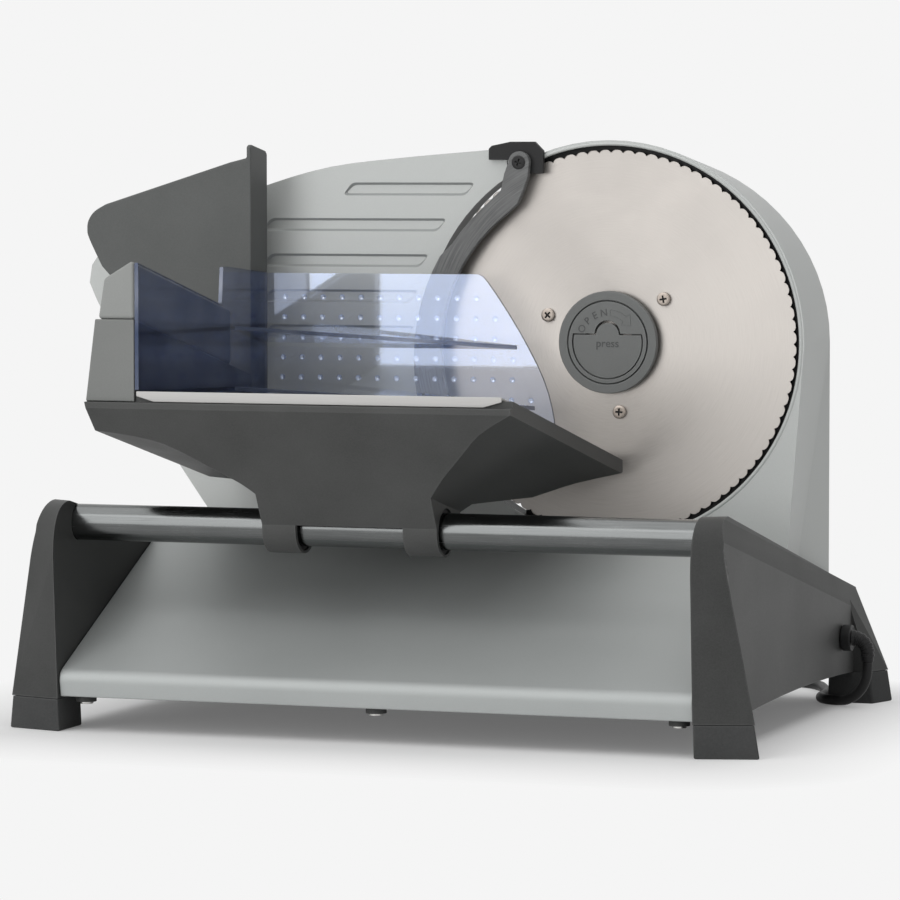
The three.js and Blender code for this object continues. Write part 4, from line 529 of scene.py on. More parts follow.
class Finishes:
    """Every finish of the machine, each made once and handed out by name."""

    RECIPES: dict[str, Moulded | Painted | Brushed | ClearPlastic] = {
        "cap_grey": Moulded("cap_plastic", srgb(50, 51, 50), 0.5, specular=0.24),
        # Painted shade: a darker copy of the cap plastic for the sloping band under each cap's crest
        "cap_band": Moulded("cap_band_plastic", srgb(46, 47, 46), 0.5, specular=0.12),
        # Carriage plastic, also used as painted shade on the right-facing face of the carriage wall
        "carriage_grey": Moulded("carriage_plastic", srgb(59, 60, 59), 0.48, specular=0.24),
        "guard_grey": Moulded("hand_guard_plastic", srgb(84, 86, 85), 0.5, specular=0.2),
        "wall_grey": Moulded("carriage_wall_plastic", srgb(115, 117, 115), 0.48),
        "handle_grey": Moulded("handle_plastic", srgb(140, 142, 140), 0.48),
        "rubber": Moulded("foot_rubber", srgb(58, 59, 59), 0.8, 1.1, 0.08, 0.05, 0.2),
        "silver": Painted("housing_paint", srgb(179, 182, 180), 0.15),
        # Painted shade: a darker copy of the housing silver for the walls round the guide's ribs
        "silver_shade": Painted("rib_edge_paint", srgb(150, 153, 152), 0.15, 0.5),
        "deck_silver": Painted("deck_paint", srgb(166, 170, 169), 0.15, 0.45),
        "chrome": Brushed("rail_chrome", srgb(98, 100, 100), Brush.ALONG_X, 0.2, 1.0, 0.08, 0.4, 0.2),
        "blade_steel": Brushed(
            "blade_brushed_steel", srgb(176, 171, 166), Brush.ROUND_BLADE, 0.4, 1.0, 0.14, 0.35, 0.6, True
        ),
        "tray_steel": Brushed("tray_satin_steel", srgb(180, 179, 177), Brush.ALONG_X, 0.5, 0.5, 0.10, 0.3),
        "screw_steel": Brushed("plated_screw", srgb(160, 150, 141), Brush.ALONG_X, 0.38, 1.0, 0.12, 0.3),
        "steel": Brushed("bright_steel", srgb(200, 199, 196), Brush.ALONG_X, 0.25, 1.0, 0.10, 0.3),
        "hub_grey": Moulded("hub_plastic", srgb(106, 108, 107), 0.5, 0.5, 0.04),
        # Painted shade: a darker copy of the hub plastic for the raised letters and arrow
        "hub_letter_shade": Moulded("hub_lettering", srgb(66, 67, 67), 0.6, 0.4, 0.02),
        # The arm's own brushed dark grey, also used as painted shade on the guide's curved edge beside the
        # blade
        "arm_grey": Brushed("arm_brushed_paint", srgb(64, 66, 66), Brush.ROUND_BLADE, 0.55, 0.1, 0.35, 0.5),
        # Black plastic, also used as painted shade inside the blade's pocket and in the screws' cross
        # recesses
        "black": Moulded("black_plastic", srgb(21, 21, 22), 0.5, 0.6, 0.03, 0.03, 0.2),
        "clear_blue": ClearPlastic("clear_blue_plastic", srgb(200, 213, 240), 0.22),
        # Painted shade: a dark, nearly opaque tint for the narrow edges of the clear sheet
        "clear_edge": ClearPlastic("clear_blue_edge", srgb(36, 47, 70), 0.8, 0.2),
        "clear_back": ClearPlastic("clear_blue_back", srgb(130, 160, 222), 0.08, 0.03),
        # Painted shade: a darker, denser navy tint for both faces of the pusher's left wall
        "clear_shade": ClearPlastic("clear_blue_wall", srgb(50, 68, 108), 0.42, 0.08),
        "clear_pimple": ClearPlastic("clear_blue_pimple", srgb(214, 222, 238), 0.7, 0.12),
        "brass": Brushed("sintered_bronze", srgb(176, 141, 87), Brush.ALONG_X, 0.4, 1.0, 0.2, 0.4, 0.0),
        "nylon": Moulded("natural_nylon", srgb(217, 214, 203), 0.5, 0.8, 0.02),
        "motor_grey": Brushed("plated_motor_can", srgb(140, 143, 146), Brush.ALONG_X, 0.35, 0.9, 0.12, 0.4),
    }

    def __init__(self) -> None:
        """Starts with none made."""
        self.made: dict[str, bpy.types.Material] = {}

    def get(self, slot: str) -> bpy.types.Material:
        """The material of a slot, made at its first use.

        Args:
            slot: The slot's or the finish's name.

        Returns:
            The material.
        """
        if slot not in self.made:
            self.made[slot] = self.RECIPES[slot].make()
        return self.made[slot]


# Modelling by hand


@contextmanager
def editing(piece: Piece) -> Iterator[bmesh.types.BMesh]:
    """Edit mode on one piece, with nothing else selected.

    Args:
        piece: The object to edit.

    Returns:
        An iterator of the mesh in edit mode, used in a with statement.
    """
    choose(piece)
    bpy.ops.object.mode_set(mode="EDIT")
    try:
        yield bmesh.from_edit_mesh(piece.data)
    finally:
        bpy.ops.object.mode_set(mode="OBJECT")


def choose(*pieces: Piece) -> None:
    """Selects these pieces alone, and makes the first active.

    Args:
        pieces: The pieces to select.
    """
    bpy.ops.object.select_all(action="DESELECT")
    for piece in pieces:
        piece.select_set(True)
    bpy.context.view_layer.objects.active = pieces[0]


def started(name: str) -> Piece:
    """Names the primitive that was just added and returns it.

    Args:
        name: The new name.

    Returns:
        The primitive.
    """
    piece = bpy.context.view_layer.objects.active
    piece.name = name
    piece.data.name = name
    return piece


def settle(piece: Piece) -> Piece:
    """Puts the piece's place, turn and scale into its mesh.

    Args:
        piece: The object.

    Returns:
        The same piece.
    """
    choose(piece)
    bpy.ops.object.transform_apply(location=True, rotation=True, scale=True)
    return piece


def primitive(
    name: str, add: Callable[..., object], scale: Spot = (1.0, 1.0, 1.0), **options: object
) -> Piece:
    """Adds a primitive with nothing else selected, and puts its place, turn and scale into its mesh.

    Args:
        name: The new piece's name.
        add: The operator that adds it.
        scale: Its scale along X, Y and Z.
        options: The operator's own options.

    Returns:
        The piece.
    """
    bpy.ops.object.select_all(action="DESELECT")
    add(**options)
    piece = started(name)
    piece.scale = scale
    return settle(piece)


def letters(text: str, size: float, raised: float, name: str) -> Piece:
    """Letters as a mesh that lies flat about the origin.

    Args:
        text: The letters.
        size: Their height in millimetres.
        raised: Half of their thickness in millimetres.
        name: The new piece's name.

    Returns:
        The letters.
    """
    bpy.ops.object.select_all(action="DESELECT")
    bpy.ops.object.text_add(location=CENTRE)
    data = bpy.context.view_layer.objects.active.data
    data.body = text
    data.size = size * MM
    data.extrude = raised * MM
    data.align_x = "CENTER"
    data.align_y = "CENTER"
    bpy.ops.object.convert(target="MESH")
    return started(name)


def smooth_by(piece: Piece, degrees: float) -> Piece:
    """Shades a piece smooth, apart from edges that are sharper than an angle.

    Args:
        piece: The object.
        degrees: The angle in degrees.

    Returns:
        The same piece.
    """
    choose(piece)
    bpy.ops.object.shade_smooth_by_angle(angle=math.radians(degrees))
    return piece


def face_outwards() -> None:
    """Turns every face of the mesh in edit mode outwards."""
    bpy.ops.mesh.select_all(action="SELECT")
    bpy.ops.mesh.normals_make_consistent(inside=False)


class Part(Enum):
    """Which parts of a mesh are picked, with the name of their list."""

    FACE = "faces"
    EDGE = "edges"
    VERT = "verts"


def pick(mesh: bmesh.types.BMesh, part: Part, test: Callable[..., bool]) -> None:
    """Selects the parts of a mesh that pass a test, and nothing else.

    Args:
        mesh: The mesh in edit mode.
        part: Whether faces, edges or points are picked.
        test: Tells the parts to select.
    """
    bpy.ops.mesh.select_all(action="DESELECT")
    bpy.ops.mesh.select_mode(type=part.name)
    for item in getattr(mesh, part.value):
        item.select_set(test(item))


def finish_with(piece: Piece, kind: str, **settings: object) -> Piece:
    """Adds a modifier, sets it and applies it.

    Args:
        piece: The object that gets it.
        kind: The modifier's kind.
        settings: Its options.

    Returns:
        The same piece.
    """
    choose(piece)
    modifier = piece.modifiers.new(kind.title(), kind)
    for key, value in settings.items():
        setattr(modifier, key, value)
    bpy.ops.object.modifier_apply(modifier=modifier.name)
    return piece


def no_edge(edge: bmesh.types.BMEdge) -> bool:
    """Tells none of the edges."""
    return False


@dataclass(frozen=True)
class Round:
    """How a piece's edges are rounded and shaded.

    Width is in millimetres, segments are the faces across the round, and angle is the least angle in
    degrees that counts as an edge. Sharp tells the edges that stay as they are. Smooth is the greatest
    angle in degrees that is shaded smooth, and crease tells the rounded edges that show as a line.
    """

    width: float
    segments: int = 3
    angle: float = 30.0
    sharp: EdgeTest = no_edge
    smooth: float = 40.0
    crease: EdgeTest = no_edge

    def soften(self, piece: Piece) -> Piece:
        """Rounds a piece's edges and shades the rest smooth.

        Args:
            piece: The object to round.

        Returns:
            The same piece.
        """
        limit = math.radians(self.angle)
        with editing(piece) as mesh:
            weight = mesh.edges.layers.float.new("bevel_weight_edge")
            for edge in mesh.edges:
                folded = len(edge.link_faces) == 2 and edge.calc_face_angle(0.0) > limit
                edge[weight] = 1.0 if folded and not self.sharp(edge) else 0.0
            bmesh.update_edit_mesh(piece.data)
        finish_with(
            piece,
            "BEVEL",
            limit_method="WEIGHT",
            width=self.width * MM,
            segments=self.segments,
            use_clamp_overlap=True,
            miter_outer="MITER_ARC",
        )
        smooth_by(piece, self.smooth)
        with editing(piece) as mesh:
            for edge in mesh.edges:
                edge.smooth = edge.smooth and not self.crease(edge)
            bmesh.update_edit_mesh(piece.data)
        return finish_with(piece, "WEIGHTED_NORMAL", mode="FACE_AREA", weight=100, keep_sharp=True)


def merged_copy(node: str, name: str) -> Piece:
    """A copy of a node's mesh as one closed skin, with the triangles in one plane joined.

    Args:
        node: The node to copy.
        name: The copy's name.

    Returns:
        The copy.
    """
    piece = duplicate(frame["nodes"][node], name)
    with editing(piece):
        bpy.ops.mesh.select_all(action="SELECT")
        bpy.ops.mesh.remove_doubles(threshold=MERGE)
        bpy.ops.mesh.customdata_custom_splitnormals_clear()
        bpy.ops.mesh.dissolve_limited(angle_limit=FLAT)
    return piece


def dress(piece: Piece, material: bpy.types.Material) -> Piece:
    """Gives the whole piece one material.

    Args:
        piece: The object.
        material: Its material.

    Returns:
        The same piece.
    """
    piece.data.materials.clear()
    piece.data.materials.append(material)
    return piece


def join_all(name: str, pieces: Sequence[Piece]) -> Piece:
    """Joins pieces into the first one and names it.

    Args:
        name: The name of the whole.
        pieces: The pieces.

    Returns:
        The whole.
    """
    choose(*pieces)
    bpy.ops.object.join()
    return started(name)


def duplicate(piece: Piece, name: str) -> Piece:
    """A copy of a piece with its own mesh.

    Args:
        piece: The object to copy.
        name: The copy's name.

    Returns:
        The copy.
    """
    copy = bpy.data.objects.new(name, piece.data.copy())
    copy.data.name = name
    bpy.context.scene.collection.objects.link(copy)
    return copy


class Builder:
    """What every sub-assembly shares: the finishes, and how a piece is put on its body."""

    def __init__(self, finishes: Finishes) -> None:
        """Keeps the finishes."""
        self.finishes = finishes
        self.count = 0

    def seat(self, piece: Piece, slot: str, body: str, *nodes: str, finish: str | None = None) -> Piece:
        """Dresses a piece, lets it ride on a body and stand for nodes.

        Args:
            piece: The finished object.
            slot: The material slot that it counts under.
            body: The body that it moves with.
            nodes: The nodes that it stands for, if any.
            finish: Its finish, where that isn't the slot's own.

        Returns:
            The same piece.
        """
        dress(piece, self.finishes.get(finish or slot))
        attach(piece, body)
        if nodes:
            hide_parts(*nodes)
        self.count += 1
        LOG.info("%s rides on %s", piece.name, body)
        return piece

    def second(self, piece: Piece, finish: str, test: PolygonTest) -> None:
        """Gives the faces that pass a test another finish.

        Args:
            piece: The dressed object.
            finish: The other finish.
            test: Tells the faces that get it.
        """
        index = len(piece.data.materials)
        piece.data.materials.append(self.finishes.get(finish))
        for polygon in piece.data.polygons:
            if test(polygon):
                polygon.material_index = index

    def rounded(
        self,
        node: str,
        edges: Round,
        shape: Callable[[Piece], None] = lambda piece: None,
        finish: str | None = None,
    ) -> Piece:
        """Stands a node's copy with rounded edges in for the node.

        Args:
            node: The node.
            edges: How its edges are rounded.
            shape: Changes the copy before its edges are rounded.
            finish: Its finish, where that isn't the slot's own.

        Returns:
            The copy.
        """
        copy = merged_copy(node, f"{node}_skin")
        shape(copy)
        return self.seat(edges.soften(copy), SLOTS[node], BODIES[node], node, finish=finish)

    def keep(self, *nodes: str) -> None:
        """Leaves nodes in their own shape and gives them their finish.

        Args:
            nodes: The nodes.
        """
        for node in nodes:
            dress(frame["nodes"][node], self.finishes.get(SLOTS[node]))
            LOG.info("%s keeps its shape", node)


# Stage and camera


@dataclass(frozen=True)
class Lamp:
    """One soft lamp: where it hangs, the point that it faces, its size in metres and power in watts."""

    name: str
    at: Spot
    aim: Spot
    size: Span
    power: float
    mirrored: bool = True

    def hang(self) -> None:
        """Adds the lamp, which shows in shiny surfaces if it is mirrored."""
        data = bpy.data.lights.new(self.name, "AREA")
        data.shape = "RECTANGLE"
        data.size, data.size_y = self.size
        data.energy = self.power
        lamp = bpy.data.objects.new(self.name, data)
        lamp.location = self.at
        lamp.rotation_euler = (Vector(self.aim) - Vector(self.at)).to_track_quat("-Z", "Y").to_euler()
        lamp.visible_glossy = self.mirrored
        bpy.context.scene.collection.objects.link(lamp)


@dataclass
class Studio:
    """Camera at the photograph's place, soft light, pale floor and backdrop."""

    eye: Vector = field(default_factory=lambda: place(747.0, -2174.8, 267.7))
    yaw: float = 0.3378
    pitch: float = 0.0600
    focal_pixels: float = 4593.0
    frame_pixels: float = 900.0
    sensor: float = 36.0
    paper: Colour = srgb(245, 245, 245)
    ambient: float = 0.28
    footprint: Span = (0.175, 0.14)
    shadow: float = 0.09
    shadow_share: float = 0.86
    floor_radius: float = 5.0
    fleck: float = 300.0
    lamps: tuple[Lamp, ...] = (
        Lamp("overhead", (-0.1, -0.6, 2.2), (0, -0.1, 0.1), (3.0, 3.0), 29),
        Lamp("front_left", (-0.75, -1.95, 0.95), (0, 0, 0.15), (1.4, 2.2), 19),
        Lamp("right", (1.9, -0.7, 0.8), (0, 0, 0.15), (1.0, 1.0), 1),
        Lamp("card", (-0.5, -1.3, 0.22), (-0.02, -0.1, 0.06), (1.4, 0.3), 2.0, False),
    )

    def camera(self) -> None:
        """Creates the camera and makes it the scene's own."""
        data = bpy.data.cameras.new("photo_camera")
        data.sensor_width = self.sensor
        data.lens = self.focal_pixels / self.frame_pixels * self.sensor
        camera = bpy.data.objects.new("photo_camera", data)
        camera.location = self.eye
        camera.rotation_euler = (math.pi / 2 - self.pitch, 0.0, self.yaw)
        bpy.context.scene.collection.objects.link(camera)
        bpy.context.scene.camera = camera

    def seen(self, tree: bpy.types.NodeTree) -> Socket:
        """One where a ray comes from the camera, a mirror or clear plastic.

        Args:
            tree: The node tree that reads it.

        Returns:
            The value's socket.
        """
        path = tree.nodes.new("ShaderNodeLightPath")
        total = path.outputs["Is Camera Ray"]
        for name in ("Is Glossy Ray", "Is Transmission Ray"):
            step = tree.nodes.new("ShaderNodeMath")
            step.operation = "MAXIMUM"
            tree.links.new(total, step.inputs[0])
            tree.links.new(path.outputs[name], step.inputs[1])
            total = step.outputs["Value"]
        return total

    def world(self) -> None:
        """Even light all round, and the pale backdrop where it is seen."""
        world = bpy.data.worlds.new("studio")
        world.use_nodes = True
        bpy.context.scene.world = world
        tree = world.node_tree
        light = tree.nodes["Background"]
        light.inputs["Color"].default_value = (1, 1, 1, 1)
        light.inputs["Strength"].default_value = self.ambient
        paper = tree.nodes.new("ShaderNodeBackground")
        paper.inputs["Color"].default_value = (*self.paper, 1)
        mix = tree.nodes.new("ShaderNodeMixShader")
        tree.links.new(self.seen(tree), mix.inputs["Fac"])
        tree.links.new(light.outputs["Background"], mix.inputs[1])
        tree.links.new(paper.outputs["Background"], mix.inputs[2])
        tree.links.new(mix.outputs["Shader"], tree.nodes["World Output"].inputs["Surface"])

    def floor(self) -> None:
        """A wide pale floor that keeps the shadow near the machine and fades into the backdrop."""
        floor = primitive(
            "floor",
            bpy.ops.mesh.primitive_circle_add,
            vertices=64,
            radius=self.floor_radius,
            fill_type="NGON",
            location=CENTRE,
        )
        shader = Shader("floor_paper")
        here = shader.coordinates()
        split = shader.add("ShaderNodeSeparateXYZ")
        shader.put(split.inputs["Vector"], here)
        squares = []
        for axis, half in zip("XY", self.footprint):
            past = shader.sums("SUBTRACT", shader.sums("ABSOLUTE", split.outputs[axis]), half)
            squares.append(shader.sums("POWER", shader.sums("MAXIMUM", past, 0.0), 2.0))
        away = shader.sums("SQRT", shader.sums("ADD", *squares))
        near = shader.spread(away, self.shadow_share, 0.0, 0.0, self.shadow)
        fleck = shader.noise(here, self.fleck, 2)
        tone = shader.blend(shader.spread(fleck, 0.0, 1.0), darker(self.paper, 0.01), self.paper)
        shader.put(shader.surface.inputs["Base Color"], tone)
        shader.surface.inputs["Roughness"].default_value = 0.9
        shader.surface.inputs["Specular IOR Level"].default_value = 0.1
        glow = shader.add("ShaderNodeEmission")
        glow.inputs["Color"].default_value = (*self.paper, 1)
        flat = shader.sums("MULTIPLY", self.seen(shader.tree), shader.sums("SUBTRACT", 1.0, near))
        mix = shader.add("ShaderNodeMixShader")
        shader.put(mix.inputs["Fac"], flat)
        shader.put(mix.inputs[1], shader.surface.outputs["BSDF"])
        shader.put(mix.inputs[2], glow.outputs["Emission"])
        shader.put(shader.tree.nodes["Material Output"].inputs["Surface"], mix.outputs["Shader"])
        dress(floor, shader.material)

    def build(self) -> None:
        """Sets the camera, backdrop, floor and lamps."""
        bpy.context.scene.view_settings.view_transform = "Standard"
        self.camera()
        self.world()
        self.floor()
        for lamp in self.lamps:
            lamp.hang()


# Cord


@dataclass
class CordSet:
    """Power cord with its boot, coil, tie and plug. Sizes in the machine's own millimetres."""

    builder: Builder
    radius: float = 2.6
    exit: Spot = (185.2, 56.0, 23.7)
    low: float = 2.8
    lead: float = 3.0
    sweep: float = 9.5
    coil_at: Span = (10.0, 146.5)
    coil_radius: float = 36.5
    coil_step: float = 6.1
    coil_rise: float = 5.9
    loops: int = 4
    steps: int = 24
    tail: float = 38.0
    curve_gain: float = 1.002
    flange: float = 5.5
    flange_radius: float = 6.6
    flange_rim: float = 1.4
    flange_sunk: float = 0.8
    drop: float = 4.0
    boot_radius: float = 4.1
    boot_core: float = 3.5
    boot_taper: float = 0.45
    boot_lip: float = 0.4
    boot_start: Span = (0.6, 4.0)
    boot_mouth: Span = (2.9, 2.65)
    ribs: int = 6
    rib_first: float = 1.4
    rib_last: float = 1.8
    rib_wide: float = 1.4
    rib_slope: float = 0.2
    rib_rise: float = 0.35
    pins: float = 15.8
    strap_wide: float = 9.0
    strap_play: float = 0.4
    strap_over: float = 0.3
    strap_under: float = 0.15
    strap_corner: float = 3.5
    strap_thick: float = 0.12

    def route(self) -> list[Vector]:
        """The cord's whole route, from the boot to the plug, in metres.

        Returns:
            The points in order.
        """
        x, y, z = self.exit
        bend = z - self.lead - self.low
        points = [(x, y, z)]
        for step in range(5):
            share = step / 4
            turn = math.radians(-90 * share)
            out, up = bend * math.cos(turn), bend * math.sin(turn)
            points.append((x - bend + out, y + self.sweep * share**2, z - self.lead + up))
        edge = self.coil_at[1] - self.coil_radius
        start = self.coil_at[0] + 2 * self.radius
        floor = [
            (162.4, 66.74),
            (159.46, 69.29),
            (157.22, 72.49),
            (155.83, 76.13),
            (155.35, 80.0),
            (154.39, 94.5),
            (148.95, 110.25),
            (141.75, 126.0),
            (129.75, 136.8),
            (115.35, 139.5),
            (97.75, 136.8),
            (81.75, 128.25),
            (65.75, 118.35),
            (start + 35.2, edge + 1.3),
            (start + 17.6, edge),
            (start + 0.3, edge),
        ]
        points += [(x, y, self.low) for x, y in floor]
        return [place(*point) for point in points + self.coil()]

    def coil(self) -> list[Spot]:
        """The coil's turns and the straight end at the plug.

        Returns:
            The points in order, in millimetres.
        """
        half = self.loops / 2
        edge = self.coil_at[1] - self.coil_radius
        points = []
        for step in range(self.loops * self.steps + 1):
            turn = step / self.steps
            reach = self.coil_radius - self.coil_step * (half - abs(turn - half))
            share = min(max((turn - half + 0.25) / 0.5, 0.0), 1.0)
            climb = share * share * (3 - 2 * share)
            angle = -math.pi / 2 - 2 * math.pi * turn
            x = self.coil_at[0] + reach * math.cos(angle)
            y = self.coil_at[1] + reach * math.sin(angle)
            points.append((x, y, self.low + self.coil_rise * climb))
        points.append((self.coil_at[0] - self.tail / 2, edge, self.low + self.coil_rise))
        points.append((self.coil_at[0] - self.tail, edge, self.low + self.coil_rise))
        return points

    def lead_piece(self) -> Piece:
        """The cord as a round tube on one smooth curve.

        Returns:
            The cord as a curve.
        """
        curve = bpy.data.curves.new("power_lead", "CURVE")
        curve.dimensions = "3D"
        curve.bevel_depth = self.radius * MM
        curve.bevel_resolution = 5
        curve.resolution_u = 6
        curve.use_fill_caps = True
        spline = curve.splines.new("BEZIER")
        points = self.route()
        spline.bezier_points.add(len(points) - 1)
        for knot, point in zip(spline.bezier_points, points):
            knot.co = point
            knot.handle_left_type = "AUTO"
            knot.handle_right_type = "AUTO"
        lead = bpy.data.objects.new("power_lead", curve)
        bpy.context.scene.collection.objects.link(lead)
        return lead

    def length(self, points: Sequence[Vector]) -> float:
        """The length of the route in metres, from point to point."""
        return sum((end - start).length for start, end in zip(points, points[1:]))

    def boot_rings(self, run: float) -> list[Span]:
        """Places along the boot and its radius at each, with a raised rib at every step.

        Args:
            run: The boot's length in millimetres.

        Returns:
            Pairs of place and radius, in millimetres.
        """
        rings = [self.boot_start]
        for rib in range(self.ribs):
            start = self.rib_first + rib * (run - self.rib_first - self.rib_last) / self.ribs
            end = start + self.rib_wide
            core = self.boot_core - self.boot_taper * rib / self.ribs
            crest = core + self.rib_rise
            rings += [(start, core), (start + self.rib_slope, crest)]
            rings += [(end - self.rib_slope, crest), (end, core)]
        rings.append((run - self.boot_lip, self.boot_core - self.boot_taper))
        return rings + [(run, radius) for radius in self.boot_mouth]

    def boot(self) -> Piece:
        """The ribbed rubber boot that bends down out of the end cap.

        Returns:
            The boot with its flange.
        """
        low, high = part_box("strain_relief")
        y, z = (low.y + high.y) / 2, high.z - self.flange_radius * MM
        face = low.x + self.flange * MM
        bend = place(*self.exit).x - face
        run = bend * math.pi / 2 + self.drop * MM
        boot = primitive(
            "cord_boot",
            bpy.ops.mesh.primitive_circle_add,
            vertices=32,
            radius=self.boot_radius * MM,
            location=CENTRE,
            rotation=LAID_X,
        )
        with editing(boot) as mesh:
            bpy.ops.mesh.select_all(action="SELECT")
            along, radius = 0.0, self.boot_radius
            for reach, size in self.boot_rings(run / MM):
                step = (reach - along) * MM
                bpy.ops.mesh.extrude_edges_move(TRANSFORM_OT_translate={"value": (step, 0, 0)})
                share = size / radius
                bpy.ops.transform.resize(value=(1, share, share), center_override=(reach * MM, 0, 0))
                along, radius = reach, size
            for point in mesh.verts:
                turn = min(point.co.x / bend, math.pi / 2)
                past = point.co.x - turn * bend
                x = math.sin(turn) * (bend + point.co.z) + past * math.cos(turn)
                up = math.cos(turn) * (bend + point.co.z) - bend - past * math.sin(turn)
                point.co = Vector((face + x, y + point.co.y, z + up))
            face_outwards()
        smooth_by(boot, 35)
        flange = primitive(
            "boot_flange",
            bpy.ops.mesh.primitive_cylinder_add,
            vertices=48,
            radius=self.flange_radius * MM,
            depth=self.flange * MM,
            location=(low.x + self.flange / 2 * MM, y, z),
            rotation=LAID_X,
        )
        with editing(flange) as mesh:
            pick(mesh, Part.FACE, lambda face: face.normal.x > FACING)
            bpy.ops.mesh.inset(thickness=self.flange_rim * MM)
            bpy.ops.transform.translate(value=(-self.flange_sunk * MM, 0, 0))
        whole = join_all("cord_boot", [boot, Round(1.0).soften(flange)])
        return self.builder.seat(whole, "black", "frame", "strain_relief")

    def plug(self) -> Piece:
        """The moulded plug with bright pins.

        Returns:
            The plug.
        """
        plug = Round(1.6, 3, 20).soften(merged_copy("power_plug", "plug_body"))
        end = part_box("power_plug")[0].x + self.pins * MM
        self.builder.seat(plug, "black", "frame", "power_plug")
        self.builder.second(plug, "steel", lambda polygon: polygon.center.x < end)
        return plug

    def tie(self) -> Piece:
        """The strap that holds the coil together at its far side.

        Returns:
            The strap.
        """
        inner = self.coil_radius - self.coil_step * self.loops / 2 - self.radius - self.strap_play
        outer = self.coil_radius + self.radius + self.strap_play
        top = self.low + self.coil_rise + self.radius + self.strap_over
        under = self.strap_under
        tie = primitive(
            "coil_tie",
            bpy.ops.mesh.primitive_cube_add,
            (self.strap_wide * MM, (outer - inner) * MM, (top - under) * MM),
            size=1.0,
            location=place(self.coil_at[0], self.coil_at[1] + (inner + outer) / 2, (top + under) / 2),
        )

        def along_x(edge: bmesh.types.BMEdge) -> bool:
            """Edges that run along the machine."""
            return abs((edge.verts[0].co - edge.verts[1].co).normalized().x) > FACING

        with editing(tie) as mesh:
            pick(mesh, Part.FACE, lambda face: abs(face.normal.x) > FACING)
            bpy.ops.mesh.delete(type="FACE")
            pick(mesh, Part.EDGE, along_x)
            bpy.ops.mesh.bevel(offset=self.strap_corner * MM, segments=6)
            face_outwards()
        finish_with(tie, "SOLIDIFY", thickness=self.strap_thick * MM, offset=1.0)
        return self.builder.seat(smooth_by(tie, 40), "black", "frame")

    def build(self) -> None:
        lead = self.lead_piece()
        self.builder.seat(lead, "black", "frame", "power_cord", "cord_coil")
        self.boot()
        plug = self.plug()
        tie = self.tie()
        round(self.length(self.route()) * self.curve_gain, 3)


# Base


@dataclass
class Screws:
    """A cross-head screw, modelled once and copied to each place. Sizes in millimetres."""

    builder: Builder
    sides: int = 40
    head_radius: float = 3.4
    head_height: float = 1.6
    dome: tuple[Span, ...] = ((0.3, 0.2), (0.6, 0.06))
    slot_width: float = 1.15
    slot_long: float = 4.6
    slot_deep: float = 0.9
    slot_out: float = 0.1
    slot_taper: float = 0.6
    recess: list[int] = field(default_factory=list)

    def __post_init__(self) -> None:
        """Models the head with its face towards -Y and the middle of its face at the origin."""
        self.pattern = self.model()

    def model(self) -> Piece:
        """Turns a short rod into a domed head with a cross recess.

        Returns:
            The head that is copied.
        """
        head = primitive(
            "screw_head",
            bpy.ops.mesh.primitive_cylinder_add,
            vertices=self.sides,
            radius=self.head_radius * MM,
            depth=self.head_height * MM,
            location=(0, self.head_height / 2 * MM, 0),
            rotation=LAID_Y,
        )
        with editing(head) as mesh:
            pick(mesh, Part.FACE, lambda face: face.normal.y < -FACING)
            for inset, rise in self.dome:
                bpy.ops.mesh.inset(thickness=inset * MM)
                bpy.ops.transform.translate(value=(0, -rise * MM, 0))
        for turn in (0.0, math.pi / 2):
            slot = primitive(
                "screw_slot",
                bpy.ops.mesh.primitive_cube_add,
                (self.slot_long * MM, 2 * self.slot_deep * MM, self.slot_width * MM),
                size=1.0,
                location=(0, -self.slot_out * MM, 0),
                rotation=(0, turn, 0),
            )
            with editing(slot) as mesh:
                pick(mesh, Part.FACE, lambda face: face.normal.y > FACING)
                bpy.ops.transform.resize(value=(self.slot_taper, 1, self.slot_taper))
            finish_with(head, "BOOLEAN", operation="DIFFERENCE", solver="EXACT", object=slot)
            bpy.data.objects.remove(slot)
        smooth_by(head, 35)
        # Faces sunk in the cross recess, which later turn black as painted shade
        front = min(point.co.y for point in head.data.vertices)
        reach = self.slot_long / 2 * MM
        for polygon in head.data.polygons:
            spot = polygon.center
            sunk = spot.y > front + 0.2 * MM and polygon.normal.y < 0.5
            if sunk and math.hypot(spot.x, spot.z) < reach:
                self.recess.append(polygon.index)
        return head

    def darken(self, copy: Piece) -> Piece:
        """Paints shade into the cross recess of a copy with the black finish.

        Args:
            copy: A copy that has its finish.

        Returns:
            The same copy.
        """
        copy.data.materials.append(self.builder.finishes.get("black"))
        for index in self.recess:
            copy.data.polygons[index].material_index = 1
        return copy

    def put(self, name: str, at: Vector, facing: Vector, spin: float, scale: float = 1.0) -> Piece:
        """Copies the head to a place.

        Args:
            name: The copy's name.
            at: The middle of the head's face, under its dome.
            facing: The way the head faces.
            spin: The turn of its cross in radians.
            scale: Its size against the pattern.

        Returns:
            The copy, with its place in its mesh.
        """
        copy = duplicate(self.pattern, name)
        turn = Vector((0, -1, 0)).rotation_difference(facing).to_matrix().to_4x4()
        matrix = Matrix.Translation(at) @ turn @ Matrix.Rotation(spin, 4, "Y") @ Matrix.Scale(scale, 4)
        copy.data.transform(matrix)
        return copy

    def clear(self) -> None:
        """Removes the pattern once every copy is made."""
        bpy.data.objects.remove(self.pattern)


